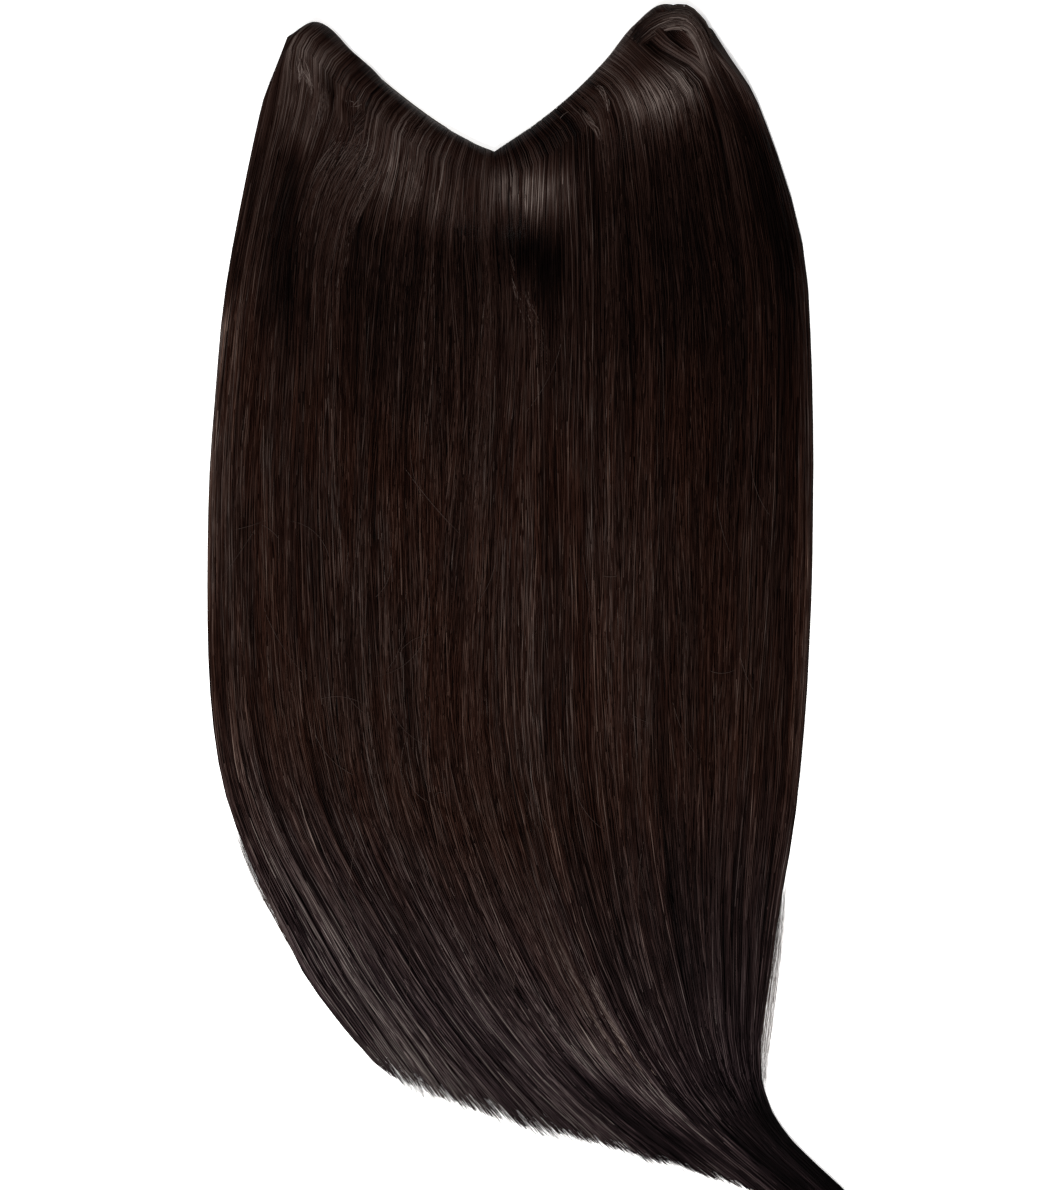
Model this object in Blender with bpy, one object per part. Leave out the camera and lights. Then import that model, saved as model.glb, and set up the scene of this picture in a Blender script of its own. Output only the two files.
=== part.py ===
"""A one-piece hair weft, laid flat: a sewn band along a V-shaped top edge, and five panels of long straight hair.

Metres, +Z up. X runs across the hair, +Y points from the tips to the band, and the weft lies on Z = 0.
The hair runs along guides, which are numbered from left to right. A place on the weft is named by its guide
number, which may be a fraction, and by its row, which counts from the hair's root to its tip.
"""

import math
import random
from typing import NamedTuple

import bmesh
import bpy
from mathutils import Vector
from mathutils.geometry import interpolate_bezier

# Driving dimensions, in metres
BODY_WIDTH = 0.302
LENGTH = 0.600
BAND_WIDTH = 0.014
BAND_THICKNESS = 0.0016
BAND_REVEAL = 0.0010
CLEARANCE = 0.0003
STEP_WIDTH = 0.0010

ROLL_HEIGHT = 0.0180
ROLL_REACH = 0.0260
ROLL_EDGE_HEIGHT = 0.0060
ROLL_FALL = 0.0600
BODY_HEIGHT = 0.0100
SWEEP_HEIGHT = 0.0085
TIP_HEIGHT = 0.0024
SIDE_HEIGHT = 0.0030

LOCK_RELIEF = 0.0010
LOCK_STAGGER = 0.0080

# Counts and shape factors
COLUMNS_PER_GUIDE = 6
COLUMNS_PER_LOCK = 3
ROWS_PER_STATION = 3
NEAR_ROWS = (0.0, 0.12, 0.35, 0.68)
GROOVE_SHARE = 0.72
CROWN_POWER = 0.5
SEED = 5


class Guide(NamedTuple):
    """One line of flow, from root to tip.

    Across is a share of BODY_WIDTH from the body's middle, and down is a share of LENGTH from the higher peak.
    The five middle columns are across, at the levels named in LEVELS.
    """

    root: tuple
    lead: tuple
    shoulder: float
    chest: float
    middle: float
    low: float
    sweep: float
    neck: tuple
    tip: tuple


LEVELS = {"shoulder": 0.187, "chest": 0.270, "middle": 0.445, "low": 0.644, "sweep": 0.794}

# One row for each guide: root, lead, shoulder, chest, middle, low, sweep, neck, tip
GUIDES = [
    Guide((-0.369, 0.028), (-0.411, 0.084), -0.454, -0.479, -0.500, -0.477, -0.354, (-0.288, 0.843), (-0.228, 0.879)),
    Guide((-0.320, 0.016), (-0.361, 0.078), -0.411, -0.437, -0.454, -0.427, -0.288, (-0.209, 0.855), (-0.137, 0.907)),
    Guide((-0.262, 0.041), (-0.290, 0.085), -0.353, -0.366, -0.379, -0.348, -0.205, (-0.108, 0.866), (-0.002, 0.930)),
    Guide((-0.190, 0.072), (-0.228, 0.120), -0.278, -0.293, -0.303, -0.273, -0.136, (-0.019, 0.876), (0.111, 0.945)),
    Guide((-0.111, 0.101), (-0.141, 0.138), -0.162, -0.174, -0.182, -0.162, -0.046, (0.101, 0.896), (0.257, 0.964)),
    Guide((-0.025, 0.124), (-0.025, 0.152), -0.026, -0.017, -0.030, -0.023, 0.070, (0.198, 0.900), (0.396, 0.989)),
    Guide((0.036, 0.104), (0.051, 0.141), 0.058, 0.063, 0.063, 0.071, 0.146, (0.262, 0.904), (0.464, 0.997)),
    Guide((0.103, 0.077), (0.129, 0.120), 0.141, 0.149, 0.152, 0.159, 0.212, (0.311, 0.908), (0.500, 0.999)),
    Guide((0.162, 0.047), (0.224, 0.091), 0.248, 0.260, 0.255, 0.252, 0.281, (0.351, 0.909), (0.527, 1.000)),
    Guide((0.209, 0.018), (0.320, 0.064), 0.373, 0.386, 0.376, 0.361, 0.354, (0.386, 0.911), (0.550, 1.000)),
    Guide((0.262, 0.001), (0.361, 0.065), 0.430, 0.447, 0.444, 0.422, 0.397, (0.409, 0.911), (0.568, 0.999)),
    Guide((0.337, 0.022), (0.409, 0.080), 0.480, 0.497, 0.500, 0.479, 0.435, (0.427, 0.911), (0.583, 0.998)),
]

BAND_FIRST_GUIDE = 1
BAND_LAST_GUIDE = len(GUIDES) - 2


class Panel(NamedTuple):
    """A panel of hair between two guides, with its colour."""

    name: str
    first_guide: int
    last_guide: int
    color: tuple


PANELS = [
    Panel("hair_left_wing", 0, 2, (0.020, 0.013, 0.011)),
    Panel("hair_left_panel", 2, 5, (0.017, 0.010, 0.008)),
    Panel("hair_centre_panel", 5, 7, (0.019, 0.011, 0.009)),
    Panel("hair_right_panel", 7, 9, (0.017, 0.010, 0.008)),
    Panel("hair_right_wing", 9, 11, (0.021, 0.013, 0.010)),
]
BAND_COLOR = (0.045, 0.036, 0.032)


def remove_objects():
    """Clear the scene."""
    for old in list(bpy.data.objects):
        bpy.data.objects.remove(old)


def plan_point(across, down):
    """Return the plan position of a place given in shares."""
    return Vector((across * BODY_WIDTH, (0.5 - down) * LENGTH))


def root_directions():
    """Return for each guide the way its hair leaves the root.

    On the band's arms that is square to the edge, and lengthened at its corners so that offsets stay parallel.
    The outermost guides, past the band's ends, start towards their own lead.
    """
    roots = [plan_point(*guide.root) for guide in GUIDES]
    directions = []
    for number, guide in enumerate(GUIDES):
        if BAND_FIRST_GUIDE <= number <= BAND_LAST_GUIDE:
            before = max(number - 1, BAND_FIRST_GUIDE)
            after = min(number + 1, BAND_LAST_GUIDE)
            normals = [square_to(roots[a], roots[a + 1]) for a in range(before, after)]
            middle = (normals[0] + normals[-1]).normalized()
            directions.append(middle / middle.dot(normals[0]))
        else:
            directions.append((plan_point(*guide.lead) - roots[number]).normalized())
    return directions


def square_to(start, end):
    """Return the unit vector square to a stretch of the edge, on its hair side."""
    along = (end - start).normalized()
    return Vector((along.y, -along.x))


def band_clear():
    """Return the distance from the hair's edge at which the hair has passed the band."""
    return BAND_WIDTH - BAND_REVEAL + CLEARANCE


def guide_stations(guide, direction):
    """Return a guide's plan points, from where the hair has passed the band to the tip."""
    root = plan_point(*guide.root)
    foot = root + direction * (band_clear() + STEP_WIDTH)
    levels = [plan_point(getattr(guide, name), down) for name, down in LEVELS.items()]
    return [foot, plan_point(*guide.lead), *levels, plan_point(*guide.neck), plan_point(*guide.tip)]


def smooth_samples(points, steps):
    """Return points along a smooth curve through the given ones, with so many steps between each two."""
    samples = []
    for index in range(len(points) - 1):
        start, end = points[index], points[index + 1]
        before = points[max(index - 1, 0)]
        after = points[min(index + 2, len(points) - 1)]
        reach = (end - start).length / 3
        leave = start + (end - before).normalized() * reach
        arrive = end - (after - start).normalized() * reach
        samples += interpolate_bezier(start, leave, arrive, end, steps + 1)[:-1]
    return [*samples, points[-1]]


class Flow:
    """The plan of the hair: for each row a smooth line across all the guides."""

    def __init__(self):
        directions = root_directions()
        roots = [plan_point(*guide.root) for guide in GUIDES]
        paths = [
            smooth_samples(guide_stations(guide, direction), ROWS_PER_STATION)
            for guide, direction in zip(GUIDES, directions)
        ]
        self.near = [share * band_clear() for share in NEAR_ROWS] + [band_clear()]
        self.edge_rows = {
            distance: self.across([root + way * distance for root, way in zip(roots, directions)])
            for distance in [*self.near, -BAND_REVEAL, BAND_WIDTH - BAND_REVEAL]
        }
        self.rows = [self.edge_rows[distance] for distance in self.near]
        self.rows += [self.across([path[row] for path in paths]) for row in range(len(paths[0]))]

    @staticmethod
    def across(points):
        """Return a row's points at every column, smoothly through its guides."""
        return smooth_samples(points, COLUMNS_PER_GUIDE)

    def distances(self, column):
        """Return how far along its strand each row of a column lies."""
        reached = [0.0]
        for before, after in zip(self.rows, self.rows[1:]):
            reached.append(reached[-1] + (after[column] - before[column]).length)
        return reached

    def sideways(self, row, column):
        """Return the unit vector square to the flow at a place, towards higher guides."""
        before = self.rows[max(row - 1, 0)][column]
        after = self.rows[min(row + 1, len(self.rows) - 1)][column]
        along = (after - before).normalized()
        return Vector((-along.y, along.x))


def smooth_step(value):
    """Return a value eased between 0 and 1."""
    value = min(max(value, 0.0), 1.0)
    return value * value * (3 - 2 * value)


def pile_height(distance, length):
    """Return the hair's full height at a distance along a strand: a rolled edge, the body, and the thin tips."""
    if distance < ROLL_REACH:
        rise = math.sqrt(1 - (1 - distance / ROLL_REACH) ** 2)
        return ROLL_EDGE_HEIGHT + (ROLL_HEIGHT - ROLL_EDGE_HEIGHT) * rise
    if distance < ROLL_REACH + ROLL_FALL:
        fall = smooth_step((distance - ROLL_REACH) / ROLL_FALL)
        return ROLL_HEIGHT + (BODY_HEIGHT - ROLL_HEIGHT) * fall
    share = (distance - ROLL_REACH - ROLL_FALL) / (length - ROLL_REACH - ROLL_FALL)
    thinned = BODY_HEIGHT + (SWEEP_HEIGHT - BODY_HEIGHT) * share
    return thinned + (TIP_HEIGHT - thinned) * share**4


def crown_share(panel, column, columns):
    """Return what share of its full height the hair has at a column: low at open sides, grooved between panels."""
    place = column / (columns - 1)
    last_guide = len(GUIDES) - 1
    left_low = SIDE_HEIGHT / BODY_HEIGHT if panel.first_guide == 0 else GROOVE_SHARE
    right_low = SIDE_HEIGHT / BODY_HEIGHT if panel.last_guide == last_guide else GROOVE_SHARE
    low = left_low if place < 0.5 else right_low
    return low + (1 - low) * math.sin(math.pi * place) ** CROWN_POWER


def is_over_band(column):
    """Say whether a column crosses the band, with one more column past each of its ends."""
    first = BAND_FIRST_GUIDE * COLUMNS_PER_GUIDE - 1
    last = BAND_LAST_GUIDE * COLUMNS_PER_GUIDE + 1
    return first <= column <= last


def closed_grid(name, tops, bottoms):
    """Return a mesh closed round two grids of points, the upper seen from above with rows running down."""
    shape = bmesh.new()
    upper = [[shape.verts.new(point) for point in row] for row in tops]
    lower = [[shape.verts.new(point) for point in row] for row in bottoms]
    last_row, last_column = len(tops) - 1, len(tops[0]) - 1
    for row in range(last_row):
        for column in range(last_column):
            a, b = (row, column), (row + 1, column)
            c, d = (row + 1, column + 1), (row, column + 1)
            shape.faces.new([upper[i][j] for i, j in (a, b, c, d)])
            shape.faces.new([lower[i][j] for i, j in (d, c, b, a)])
    border = [(row, 0) for row in range(last_row)]
    border += [(last_row, column) for column in range(last_column)]
    border += [(row, last_column) for row in range(last_row, 0, -1)]
    border += [(0, column) for column in range(last_column, 0, -1)]
    for (i, j), (k, m) in zip(border, border[1:] + border[:1]):
        shape.faces.new([upper[k][m], upper[i][j], lower[i][j], lower[k][m]])
    bmesh.ops.recalc_face_normals(shape, faces=shape.faces)
    mesh = bpy.data.meshes.new(name)
    shape.to_mesh(mesh)
    shape.free()
    return mesh


def add_piece(mesh, color, roughness):
    """Put a mesh in the scene with a material of its own."""
    finish = bpy.data.materials.new(mesh.name)
    finish.use_nodes = True
    shader = finish.node_tree.nodes["Principled BSDF"]
    shader.inputs["Base Color"].default_value = (*color, 1)
    shader.inputs["Roughness"].default_value = roughness
    shader.inputs["Metallic"].default_value = 0
    mesh.materials.append(finish)
    piece = bpy.data.objects.new(mesh.name, mesh)
    bpy.context.scene.collection.objects.link(piece)
    return piece


def make_band(flow):
    """The sewn band: a flat strip along the V edge, a little proud of the hair."""
    columns = range(BAND_FIRST_GUIDE * COLUMNS_PER_GUIDE, BAND_LAST_GUIDE * COLUMNS_PER_GUIDE + 1)
    edges = [flow.edge_rows[distance] for distance in (-BAND_REVEAL, BAND_WIDTH - BAND_REVEAL)]
    tops = [[(*edge[column], BAND_THICKNESS) for column in columns] for edge in edges]
    bottoms = [[(*edge[column], 0) for column in columns] for edge in edges]
    return add_piece(closed_grid("weft_band", tops, bottoms), BAND_COLOR, 0.8)


def lock_staggers():
    """Return for each lock how far its tip stops short of the guide's tip."""
    dice = random.Random(SEED)
    locks = (len(GUIDES) - 1) * COLUMNS_PER_GUIDE // COLUMNS_PER_LOCK
    return [dice.uniform(0.0, LOCK_STAGGER) for _ in range(locks)]


def make_panel(flow, panel, staggers):
    """One panel of hair: a closed pile with lock ridges, a rolled edge over the band, and staggered lock tips."""
    first = panel.first_guide * COLUMNS_PER_GUIDE
    last = panel.last_guide * COLUMNS_PER_GUIDE
    columns = range(first, last + 1)
    lengths = {column: flow.distances(column) for column in columns}
    tops, bottoms = [], []
    for row in range(len(flow.rows)):
        top_row, bottom_row = [], []
        for column in columns:
            place = flow.rows[row][column].copy()
            on_groove = column % COLUMNS_PER_LOCK == 0
            if row == len(flow.rows) - 1:
                lock = min(column // COLUMNS_PER_LOCK, len(staggers) - 1)
                short = LOCK_STAGGER if on_groove else staggers[lock]
                back = (flow.rows[row - 1][column] - place).normalized()
                place += back * short
            if column == first and first > 0:
                place += flow.sideways(row, column) * CLEARANCE / 2
            if column == last and panel.last_guide < len(GUIDES) - 1:
                place -= flow.sideways(row, column) * CLEARANCE / 2
            raised = row < len(flow.near) and is_over_band(column)
            bottom = BAND_THICKNESS + CLEARANCE if raised else 0.0
            full = pile_height(lengths[column][row], lengths[column][-1])
            top = full * crown_share(panel, column - first, len(columns))
            top -= LOCK_RELIEF * top / ROLL_HEIGHT if on_groove else 0.0
            top_row.append((*place, max(top, bottom + TIP_HEIGHT)))
            bottom_row.append((*place, bottom))
        tops.append(top_row)
        bottoms.append(bottom_row)
    return add_piece(closed_grid(panel.name, tops, bottoms), panel.color, 0.45)


def centre_on_origin(pieces):
    """Move every mesh so that the middle of the whole weft's box is at X = 0, Y = 0."""
    corners = [vertex.co for piece in pieces for vertex in piece.data.vertices]
    middle = [(min(c[axis] for c in corners) + max(c[axis] for c in corners)) / 2 for axis in (0, 1)]
    for piece in pieces:
        for vertex in piece.data.vertices:
            vertex.co.x -= middle[0]
            vertex.co.y -= middle[1]
        piece.data.update()


def main():
    """Build the weft."""
    remove_objects()
    flow = Flow()
    staggers = lock_staggers()
    pieces = [make_band(flow)]
    pieces += [make_panel(flow, panel, staggers) for panel in PANELS]
    centre_on_origin(pieces)


main()
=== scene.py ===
"""A dark brown one-piece hair weft, lying on a pale studio floor and seen from straight above.

Metres, +Z up. X runs across the hair, +Y points from the tips to the band. A place on the hair is given by
its guide number, counted from left to right and often a fraction, and by its share of the way to the tips.
"""

import logging
import math
from dataclasses import dataclass
from enum import Enum
from typing import Any, NamedTuple

import bpy
import numpy as np
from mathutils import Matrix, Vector
from mathutils.kdtree import KDTree


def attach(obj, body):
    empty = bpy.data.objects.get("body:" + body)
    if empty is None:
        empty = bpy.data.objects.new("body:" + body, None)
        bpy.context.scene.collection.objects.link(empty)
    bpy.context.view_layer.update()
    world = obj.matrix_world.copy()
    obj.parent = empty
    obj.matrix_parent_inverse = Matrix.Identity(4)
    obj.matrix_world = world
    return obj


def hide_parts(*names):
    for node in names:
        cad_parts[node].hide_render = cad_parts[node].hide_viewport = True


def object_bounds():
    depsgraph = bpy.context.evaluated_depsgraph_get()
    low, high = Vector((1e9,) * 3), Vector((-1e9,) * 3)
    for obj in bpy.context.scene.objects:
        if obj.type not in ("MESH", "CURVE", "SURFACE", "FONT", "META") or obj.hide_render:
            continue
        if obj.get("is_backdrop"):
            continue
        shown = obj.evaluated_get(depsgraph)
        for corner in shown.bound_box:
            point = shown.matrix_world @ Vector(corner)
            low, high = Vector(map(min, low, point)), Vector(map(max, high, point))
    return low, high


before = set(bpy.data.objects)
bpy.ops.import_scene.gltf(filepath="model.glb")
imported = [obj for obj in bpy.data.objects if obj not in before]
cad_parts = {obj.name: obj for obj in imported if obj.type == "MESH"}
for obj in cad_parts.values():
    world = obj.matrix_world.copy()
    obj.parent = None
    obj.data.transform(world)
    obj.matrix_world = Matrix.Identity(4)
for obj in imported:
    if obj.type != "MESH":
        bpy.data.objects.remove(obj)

log = logging.getLogger("hair_weft")

MAP_NAME = "OFBake"
FLOW_NAME = "hair_flow"
# The second map holds painted light and shade, between half of this many stops below the middle and half
# above it
STOP_RANGE = 10.0


# Node trees

class Socket:
    """A node's output. Arithmetic on it adds Math nodes to its tree."""

    def __init__(self, graph: "Graph", source: bpy.types.NodeSocket) -> None:
        """Wrap an output of a node in a graph."""
        self.graph = graph
        self.source = source

    def math(self, operation: str, *values: "Socket | float") -> "Socket":
        """Return the result of a Math node on these values, in order."""
        return self.graph.add("ShaderNodeMath", {"operation": operation}, dict(enumerate(values)))

    def math_one(self, operation: str) -> "Socket":
        """Return the result of a Math node on this value alone."""
        return self.math(operation, self)

    def other(self, name: str | int) -> "Socket":
        """Return another output of the same node."""
        return Socket(self.graph, self.source.node.outputs[name])

    def __add__(self, other: "Socket | float") -> "Socket":
        """Return self + other."""
        return self.math("ADD", self, other)

    def __sub__(self, other: "Socket | float") -> "Socket":
        """Return self - other."""
        return self.math("SUBTRACT", self, other)

    def __rsub__(self, other: float) -> "Socket":
        """Return other - self."""
        return self.math("SUBTRACT", other, self)

    def __mul__(self, other: "Socket | float") -> "Socket":
        """Return self * other."""
        return self.math("MULTIPLY", self, other)

    def __truediv__(self, other: "Socket | float") -> "Socket":
        """Return self / other."""
        return self.math("DIVIDE", self, other)

    __radd__ = __add__
    __rmul__ = __mul__


class Graph:
    """A node tree while it is being built."""

    def __init__(self, tree: bpy.types.NodeTree) -> None:
        """Start on a tree, with whatever nodes it has."""
        self.tree = tree

    def add(
        self,
        kind: str,
        settings: dict[str, Any] | None = None,
        sockets: dict[str | int, Any] | None = None,
        output: str | int = 0,
    ) -> Socket:
        """Add a node.

        Args:
            kind: The node's type.
            settings: Its own settings, which are set first. "stops" holds a ramp's positions and colours.
            sockets: Values or sockets for its inputs, by name, identifier or number.
            output: The output that is wanted, by name or number.

        Returns:
            That output.
        """
        node = self.tree.nodes.new(kind)
        for name, value in (settings or {}).items():
            if name == "stops":
                self.set_stops(node, value)
            else:
                setattr(node, name, value)
        for name, value in (sockets or {}).items():
            self.feed(self.input_of(node, name), value)
        return Socket(self, self.output_of(node, output)) if node.outputs else Socket(self, None)

    @staticmethod
    def set_stops(node: bpy.types.Node, stops: list[tuple[float, tuple]]) -> None:
        """Give a ramp its stops.

        Args:
            node: The ramp.
            stops: Positions and colours, in order.
        """
        elements = node.color_ramp.elements
        while len(elements) < len(stops):
            elements.new(0.5)
        for element, (position, color) in zip(elements, stops):
            element.position = position
            element.color = (*color, 1.0)

    @staticmethod
    def input_of(node: bpy.types.Node, name: str | int) -> bpy.types.NodeSocket:
        """Return a node's enabled input.

        Args:
            node: The node.
            name: The input's name, identifier or number.

        Returns:
            The input.
        """
        if isinstance(name, int):
            return node.inputs[name]
        for socket in node.inputs:
            if socket.enabled and name in (socket.name, socket.identifier):
                return socket
        raise KeyError(f"{node.bl_idname} has no input {name}")

    @staticmethod
    def output_of(node: bpy.types.Node, name: str | int) -> bpy.types.NodeSocket:
        """Return a node's output.

        Args:
            node: The node.
            name: The output's name, identifier or number.

        Returns:
            The output.
        """
        if isinstance(name, int):
            return node.outputs[name]
        for socket in node.outputs:
            if name in (socket.name, socket.identifier):
                return socket
        raise KeyError(f"{node.bl_idname} has no output {name}")

    def feed(self, target: bpy.types.NodeSocket, value: Any) -> None:
        """Link a socket into an input, or set the input to a value.

        Args:
            target: The input.
            value: The socket or the value.
        """
        if isinstance(value, Socket):
            self.tree.links.new(value.source, target)
        else:
            target.default_value = value

    def map_place(self, name: str) -> Socket:
        """Return the place in a map, split into its coordinates, X first."""
        return self.add("ShaderNodeSeparateXYZ", None, {0: self.add("ShaderNodeUVMap", {"uv_map": name})})

    def mix(self, blend: str, factor: Socket, first: Socket, second: Any) -> Socket:
        """Return two colours blended by a Mix node."""
        values = {"Factor_Float": factor, "A_Color": first, "B_Color": second}
        return self.add("ShaderNodeMix", {"data_type": "RGBA", "blend_type": blend}, values, "Result_Color")

    def rise(self, value: Socket, low: float, high: float, bottom: float = 0.0, top: float = 1.0) -> Socket:
        """Return a value that rises from bottom to top while the given one goes from low to high."""
        ends = {"From Min": low, "From Max": high, "To Min": bottom, "To Max": top}
        return self.add("ShaderNodeMapRange", None, {"Value": value, **ends})

    def relief(self, height: Socket, strength: float, depth: float) -> Socket:
        """Return the normal of a relief with a given strength and a depth in metres."""
        return self.add("ShaderNodeBump", None, {"Height": height, "Strength": strength, "Distance": depth})


# Finishes

@dataclass(frozen=True)
class Finish:
    """A finish: one procedural material."""

    name: str = "finish"

    def material(self) -> bpy.types.Material:
        """Build the material at its first use.

        Returns:
            The material.
        """
        if self.name in bpy.data.materials:
            return bpy.data.materials[self.name]
        made = bpy.data.materials.new(self.name)
        made.use_nodes = True
        self.paint(Graph(made.node_tree), made.node_tree.nodes["Principled BSDF"].inputs)
        return made

    def paint(self, graph: Graph, surface: bpy.types.NodeInputs) -> None:
        """Set the shader's inputs, which each finish does in its own way."""
        raise NotImplementedError


@dataclass(frozen=True)
class HairFinish(Finish):
    """The finish of single hairs.

    Each hair lies in one column of its map. A column's number holds the strip of the weft that the hair is in
    and its level of brown. A second map holds the painted light and shade along the hair, in stops, and the
    hair's own number.
    """

    name: str = "hair_strands"
    strips: int = 16
    levels: int = 8
    # Browns by their light in stops, from 4 below the middle to 4 above it: the lighter, the greyer, like a
    # painted sheen
    browns: tuple = (
        (-4.0, (0.0004, 0.0002, 0.0002)),
        (-2.0, (0.0018, 0.0009, 0.0008)),
        (-1.0, (0.0037, 0.0018, 0.0014)),
        (0.0, (0.0078, 0.0035, 0.0027)),
        (1.0, (0.0150, 0.0078, 0.0061)),
        (2.0, (0.0285, 0.0192, 0.0166)),
        (3.0, (0.0540, 0.0400, 0.0355)),
        (4.0, (0.1000, 0.0800, 0.0720)),
    )
    # The same browns where the hair sweeps to its tips: cooler
    cool_browns: tuple = (
        (-4.0, (0.0004, 0.0002, 0.0003)),
        (-2.0, (0.0014, 0.0008, 0.0010)),
        (-1.0, (0.0030, 0.0018, 0.0021)),
        (0.0, (0.0064, 0.0039, 0.0045)),
        (1.0, (0.0134, 0.0085, 0.0093)),
        (2.0, (0.0275, 0.0188, 0.0198)),
        (3.0, (0.0540, 0.0410, 0.0405)),
        (4.0, (0.1000, 0.0860, 0.0800)),
    )
    cool_from: float = 0.60
    cool_to: float = 0.86
    base_stops: float = 0.28
    level_stops: float = 0.42
    # A tint that lies in patches over the warm part: its strength, size and edges, and where it sets in
    warm: tuple = (1.18, 0.97, 0.86)
    warm_patch: tuple = (2.63, 5.0)
    warm_edges: tuple = (0.42, 0.62)
    warm_from: float = 0.14
    warm_whole: float = 0.30
    # Streaks along each hair: how many, how strong, how far apart from hair to hair, their detail
    streaks: float = 28.0
    streak_stops: float = 4.4
    streak_pitch: float = 7.31
    streak_detail: float = 2.0
    # How much of the streaks is left at the root, and the share of the length by which they are whole
    root_streaks: float = 0.35
    streaks_whole: float = 0.20
    roughness: float = 0.25
    roughness_spread: float = 0.06
    # The ends are drier than the rest: rougher by this much
    ends_roughness: float = 0.35
    reflection: float = 0.015

    @property
    def columns(self) -> int:
        """The number of columns in the map."""
        return self.strips * self.levels

    def column(self, strip: np.ndarray, level: np.ndarray) -> np.ndarray:
        """Return the columns of hairs, from strips as shares of the panel and levels as numbers."""
        strip = np.clip(np.floor(strip * self.strips), 0, self.strips - 1)
        return strip * self.levels + np.clip(np.round(level), 0, self.levels - 1)

    def paint(self, graph: Graph, surface: bpy.types.NodeInputs) -> None:
        """Set the hair's colour, roughness and reflection.

        Args:
            graph: The material's tree.
            surface: The shader's inputs.
        """
        place = graph.map_place(MAP_NAME)
        column = (place * self.columns).math_one("FLOOR")
        along = place.other("Y")
        flow = graph.map_place(FLOW_NAME)
        streak = self.streak(graph, flow.other("Y"))
        strength = graph.rise(
            along, 0.0, self.streaks_whole, self.root_streaks * self.streak_stops, self.streak_stops
        )
        level = column.math("MODULO", column, self.levels) - (self.levels - 1) / 2
        # Painted light and shade from the second map, the streaks and the hair's level of brown, all in stops
        stops = (flow - 0.5) * STOP_RANGE + (streak - 0.5) * strength + level * self.level_stops
        stops = stops + self.base_stops
        cool = graph.rise(along, self.cool_from, self.cool_to)
        shades = [self.shade(graph, stops, browns) for browns in (self.browns, self.cool_browns)]
        color = graph.mix("MIX", cool, *shades)
        tint = self.warm_patches(graph, column, along) * (1.0 - cool)
        color = graph.mix("MULTIPLY", tint, color, (*self.warm, 1.0))
        graph.feed(surface["Base Color"], color)
        dry = cool * self.ends_roughness + self.roughness
        graph.feed(surface["Roughness"], streak * self.roughness_spread + dry)
        surface["Specular IOR Level"].default_value = self.reflection

    def streak(self, graph: Graph, run: Socket) -> Socket:
        """Return noise along each hair.

        Args:
            graph: The material's tree.
            run: The hair's own number, plus the share of its length.

        Returns:
            The noise, different for each hair.
        """
        own = graph.add("ShaderNodeCombineXYZ", None, {
            "X": run.math_one("FLOOR") * self.streak_pitch, "Y": run.math_one("FRACT") * self.streaks,
        })
        look = {"Vector": own, "Scale": 1.0, "Detail": self.streak_detail}
        return graph.add("ShaderNodeTexNoise", {"noise_dimensions": "2D"}, look)

    def shade(self, graph: Graph, stops: Socket, browns: tuple) -> Socket:
        """Return the colour of light.

        Args:
            graph: The material's tree.
            stops: The light in stops.
            browns: The browns, by their light in stops.

        Returns:
            The colour.
        """
        low, high = browns[0][0], browns[-1][0]
        ramp = [((at - low) / (high - low), color) for at, color in browns]
        return graph.add("ShaderNodeValToRGB", {"stops": ramp}, {0: (stops - low) / (high - low)})

    def warm_patches(self, graph: Graph, column: Socket, along: Socket) -> Socket:
        """Return where the warm tint lies.

        Args:
            graph: The material's tree.
            column: The hair's column.
            along: The share of the way to the tips.

        Returns:
            The tint's strength, in patches over the strips, and none at the root.
        """
        strip = (column / self.levels).math_one("FLOOR")
        across, down = self.warm_patch
        patch = graph.add("ShaderNodeCombineXYZ", None, {"X": strip * across, "Y": along * down})
        warmth = graph.add("ShaderNodeTexNoise", {"noise_dimensions": "2D"}, {"Vector": patch, "Scale": 1.0})
        return graph.rise(warmth, *self.warm_edges) * graph.rise(along, self.warm_from, self.warm_whole)


@dataclass(frozen=True)
class PileFinish(Finish):
    """The finish of the mass of hair under the single hairs: dark, as painted shade under them, with fine
    streaks along the flow.
    """

    name: str = "hair_pile"
    dark: tuple = (0.0010, 0.0005, 0.0004)
    light: tuple = (0.0042, 0.0020, 0.0016)
    # The noise's values at the darkest and the lightest, the streaks across and along, and their detail
    shades: tuple = (0.35, 0.70)
    streaks: float = 260.0
    streak_stretch: float = 3.0
    detail: float = 3.0
    roughness: float = 0.5
    reflection: float = 0.03
    bump: float = 0.6
    bump_depth: float = 0.0004

    def paint(self, graph: Graph, surface: bpy.types.NodeInputs) -> None:
        """Set the pile's colour, relief, roughness and reflection.

        Args:
            graph: The material's tree.
            surface: The shader's inputs.
        """
        place = graph.add("ShaderNodeUVMap", {"uv_map": MAP_NAME})
        drawn = graph.add(
            "ShaderNodeMapping", None, {"Vector": place, "Scale": (self.streaks, self.streak_stretch, 1.0)}
        )
        fine = graph.add("ShaderNodeTexNoise", None, {"Vector": drawn, "Scale": 1.0, "Detail": self.detail})
        stops = list(zip(self.shades, (self.dark, self.light)))
        graph.feed(surface["Base Color"], graph.add("ShaderNodeValToRGB", {"stops": stops}, {0: fine}))
        graph.feed(surface["Normal"], graph.relief(fine, self.bump, self.bump_depth))
        surface["Roughness"].default_value = self.roughness
        surface["Specular IOR Level"].default_value = self.reflection


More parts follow.
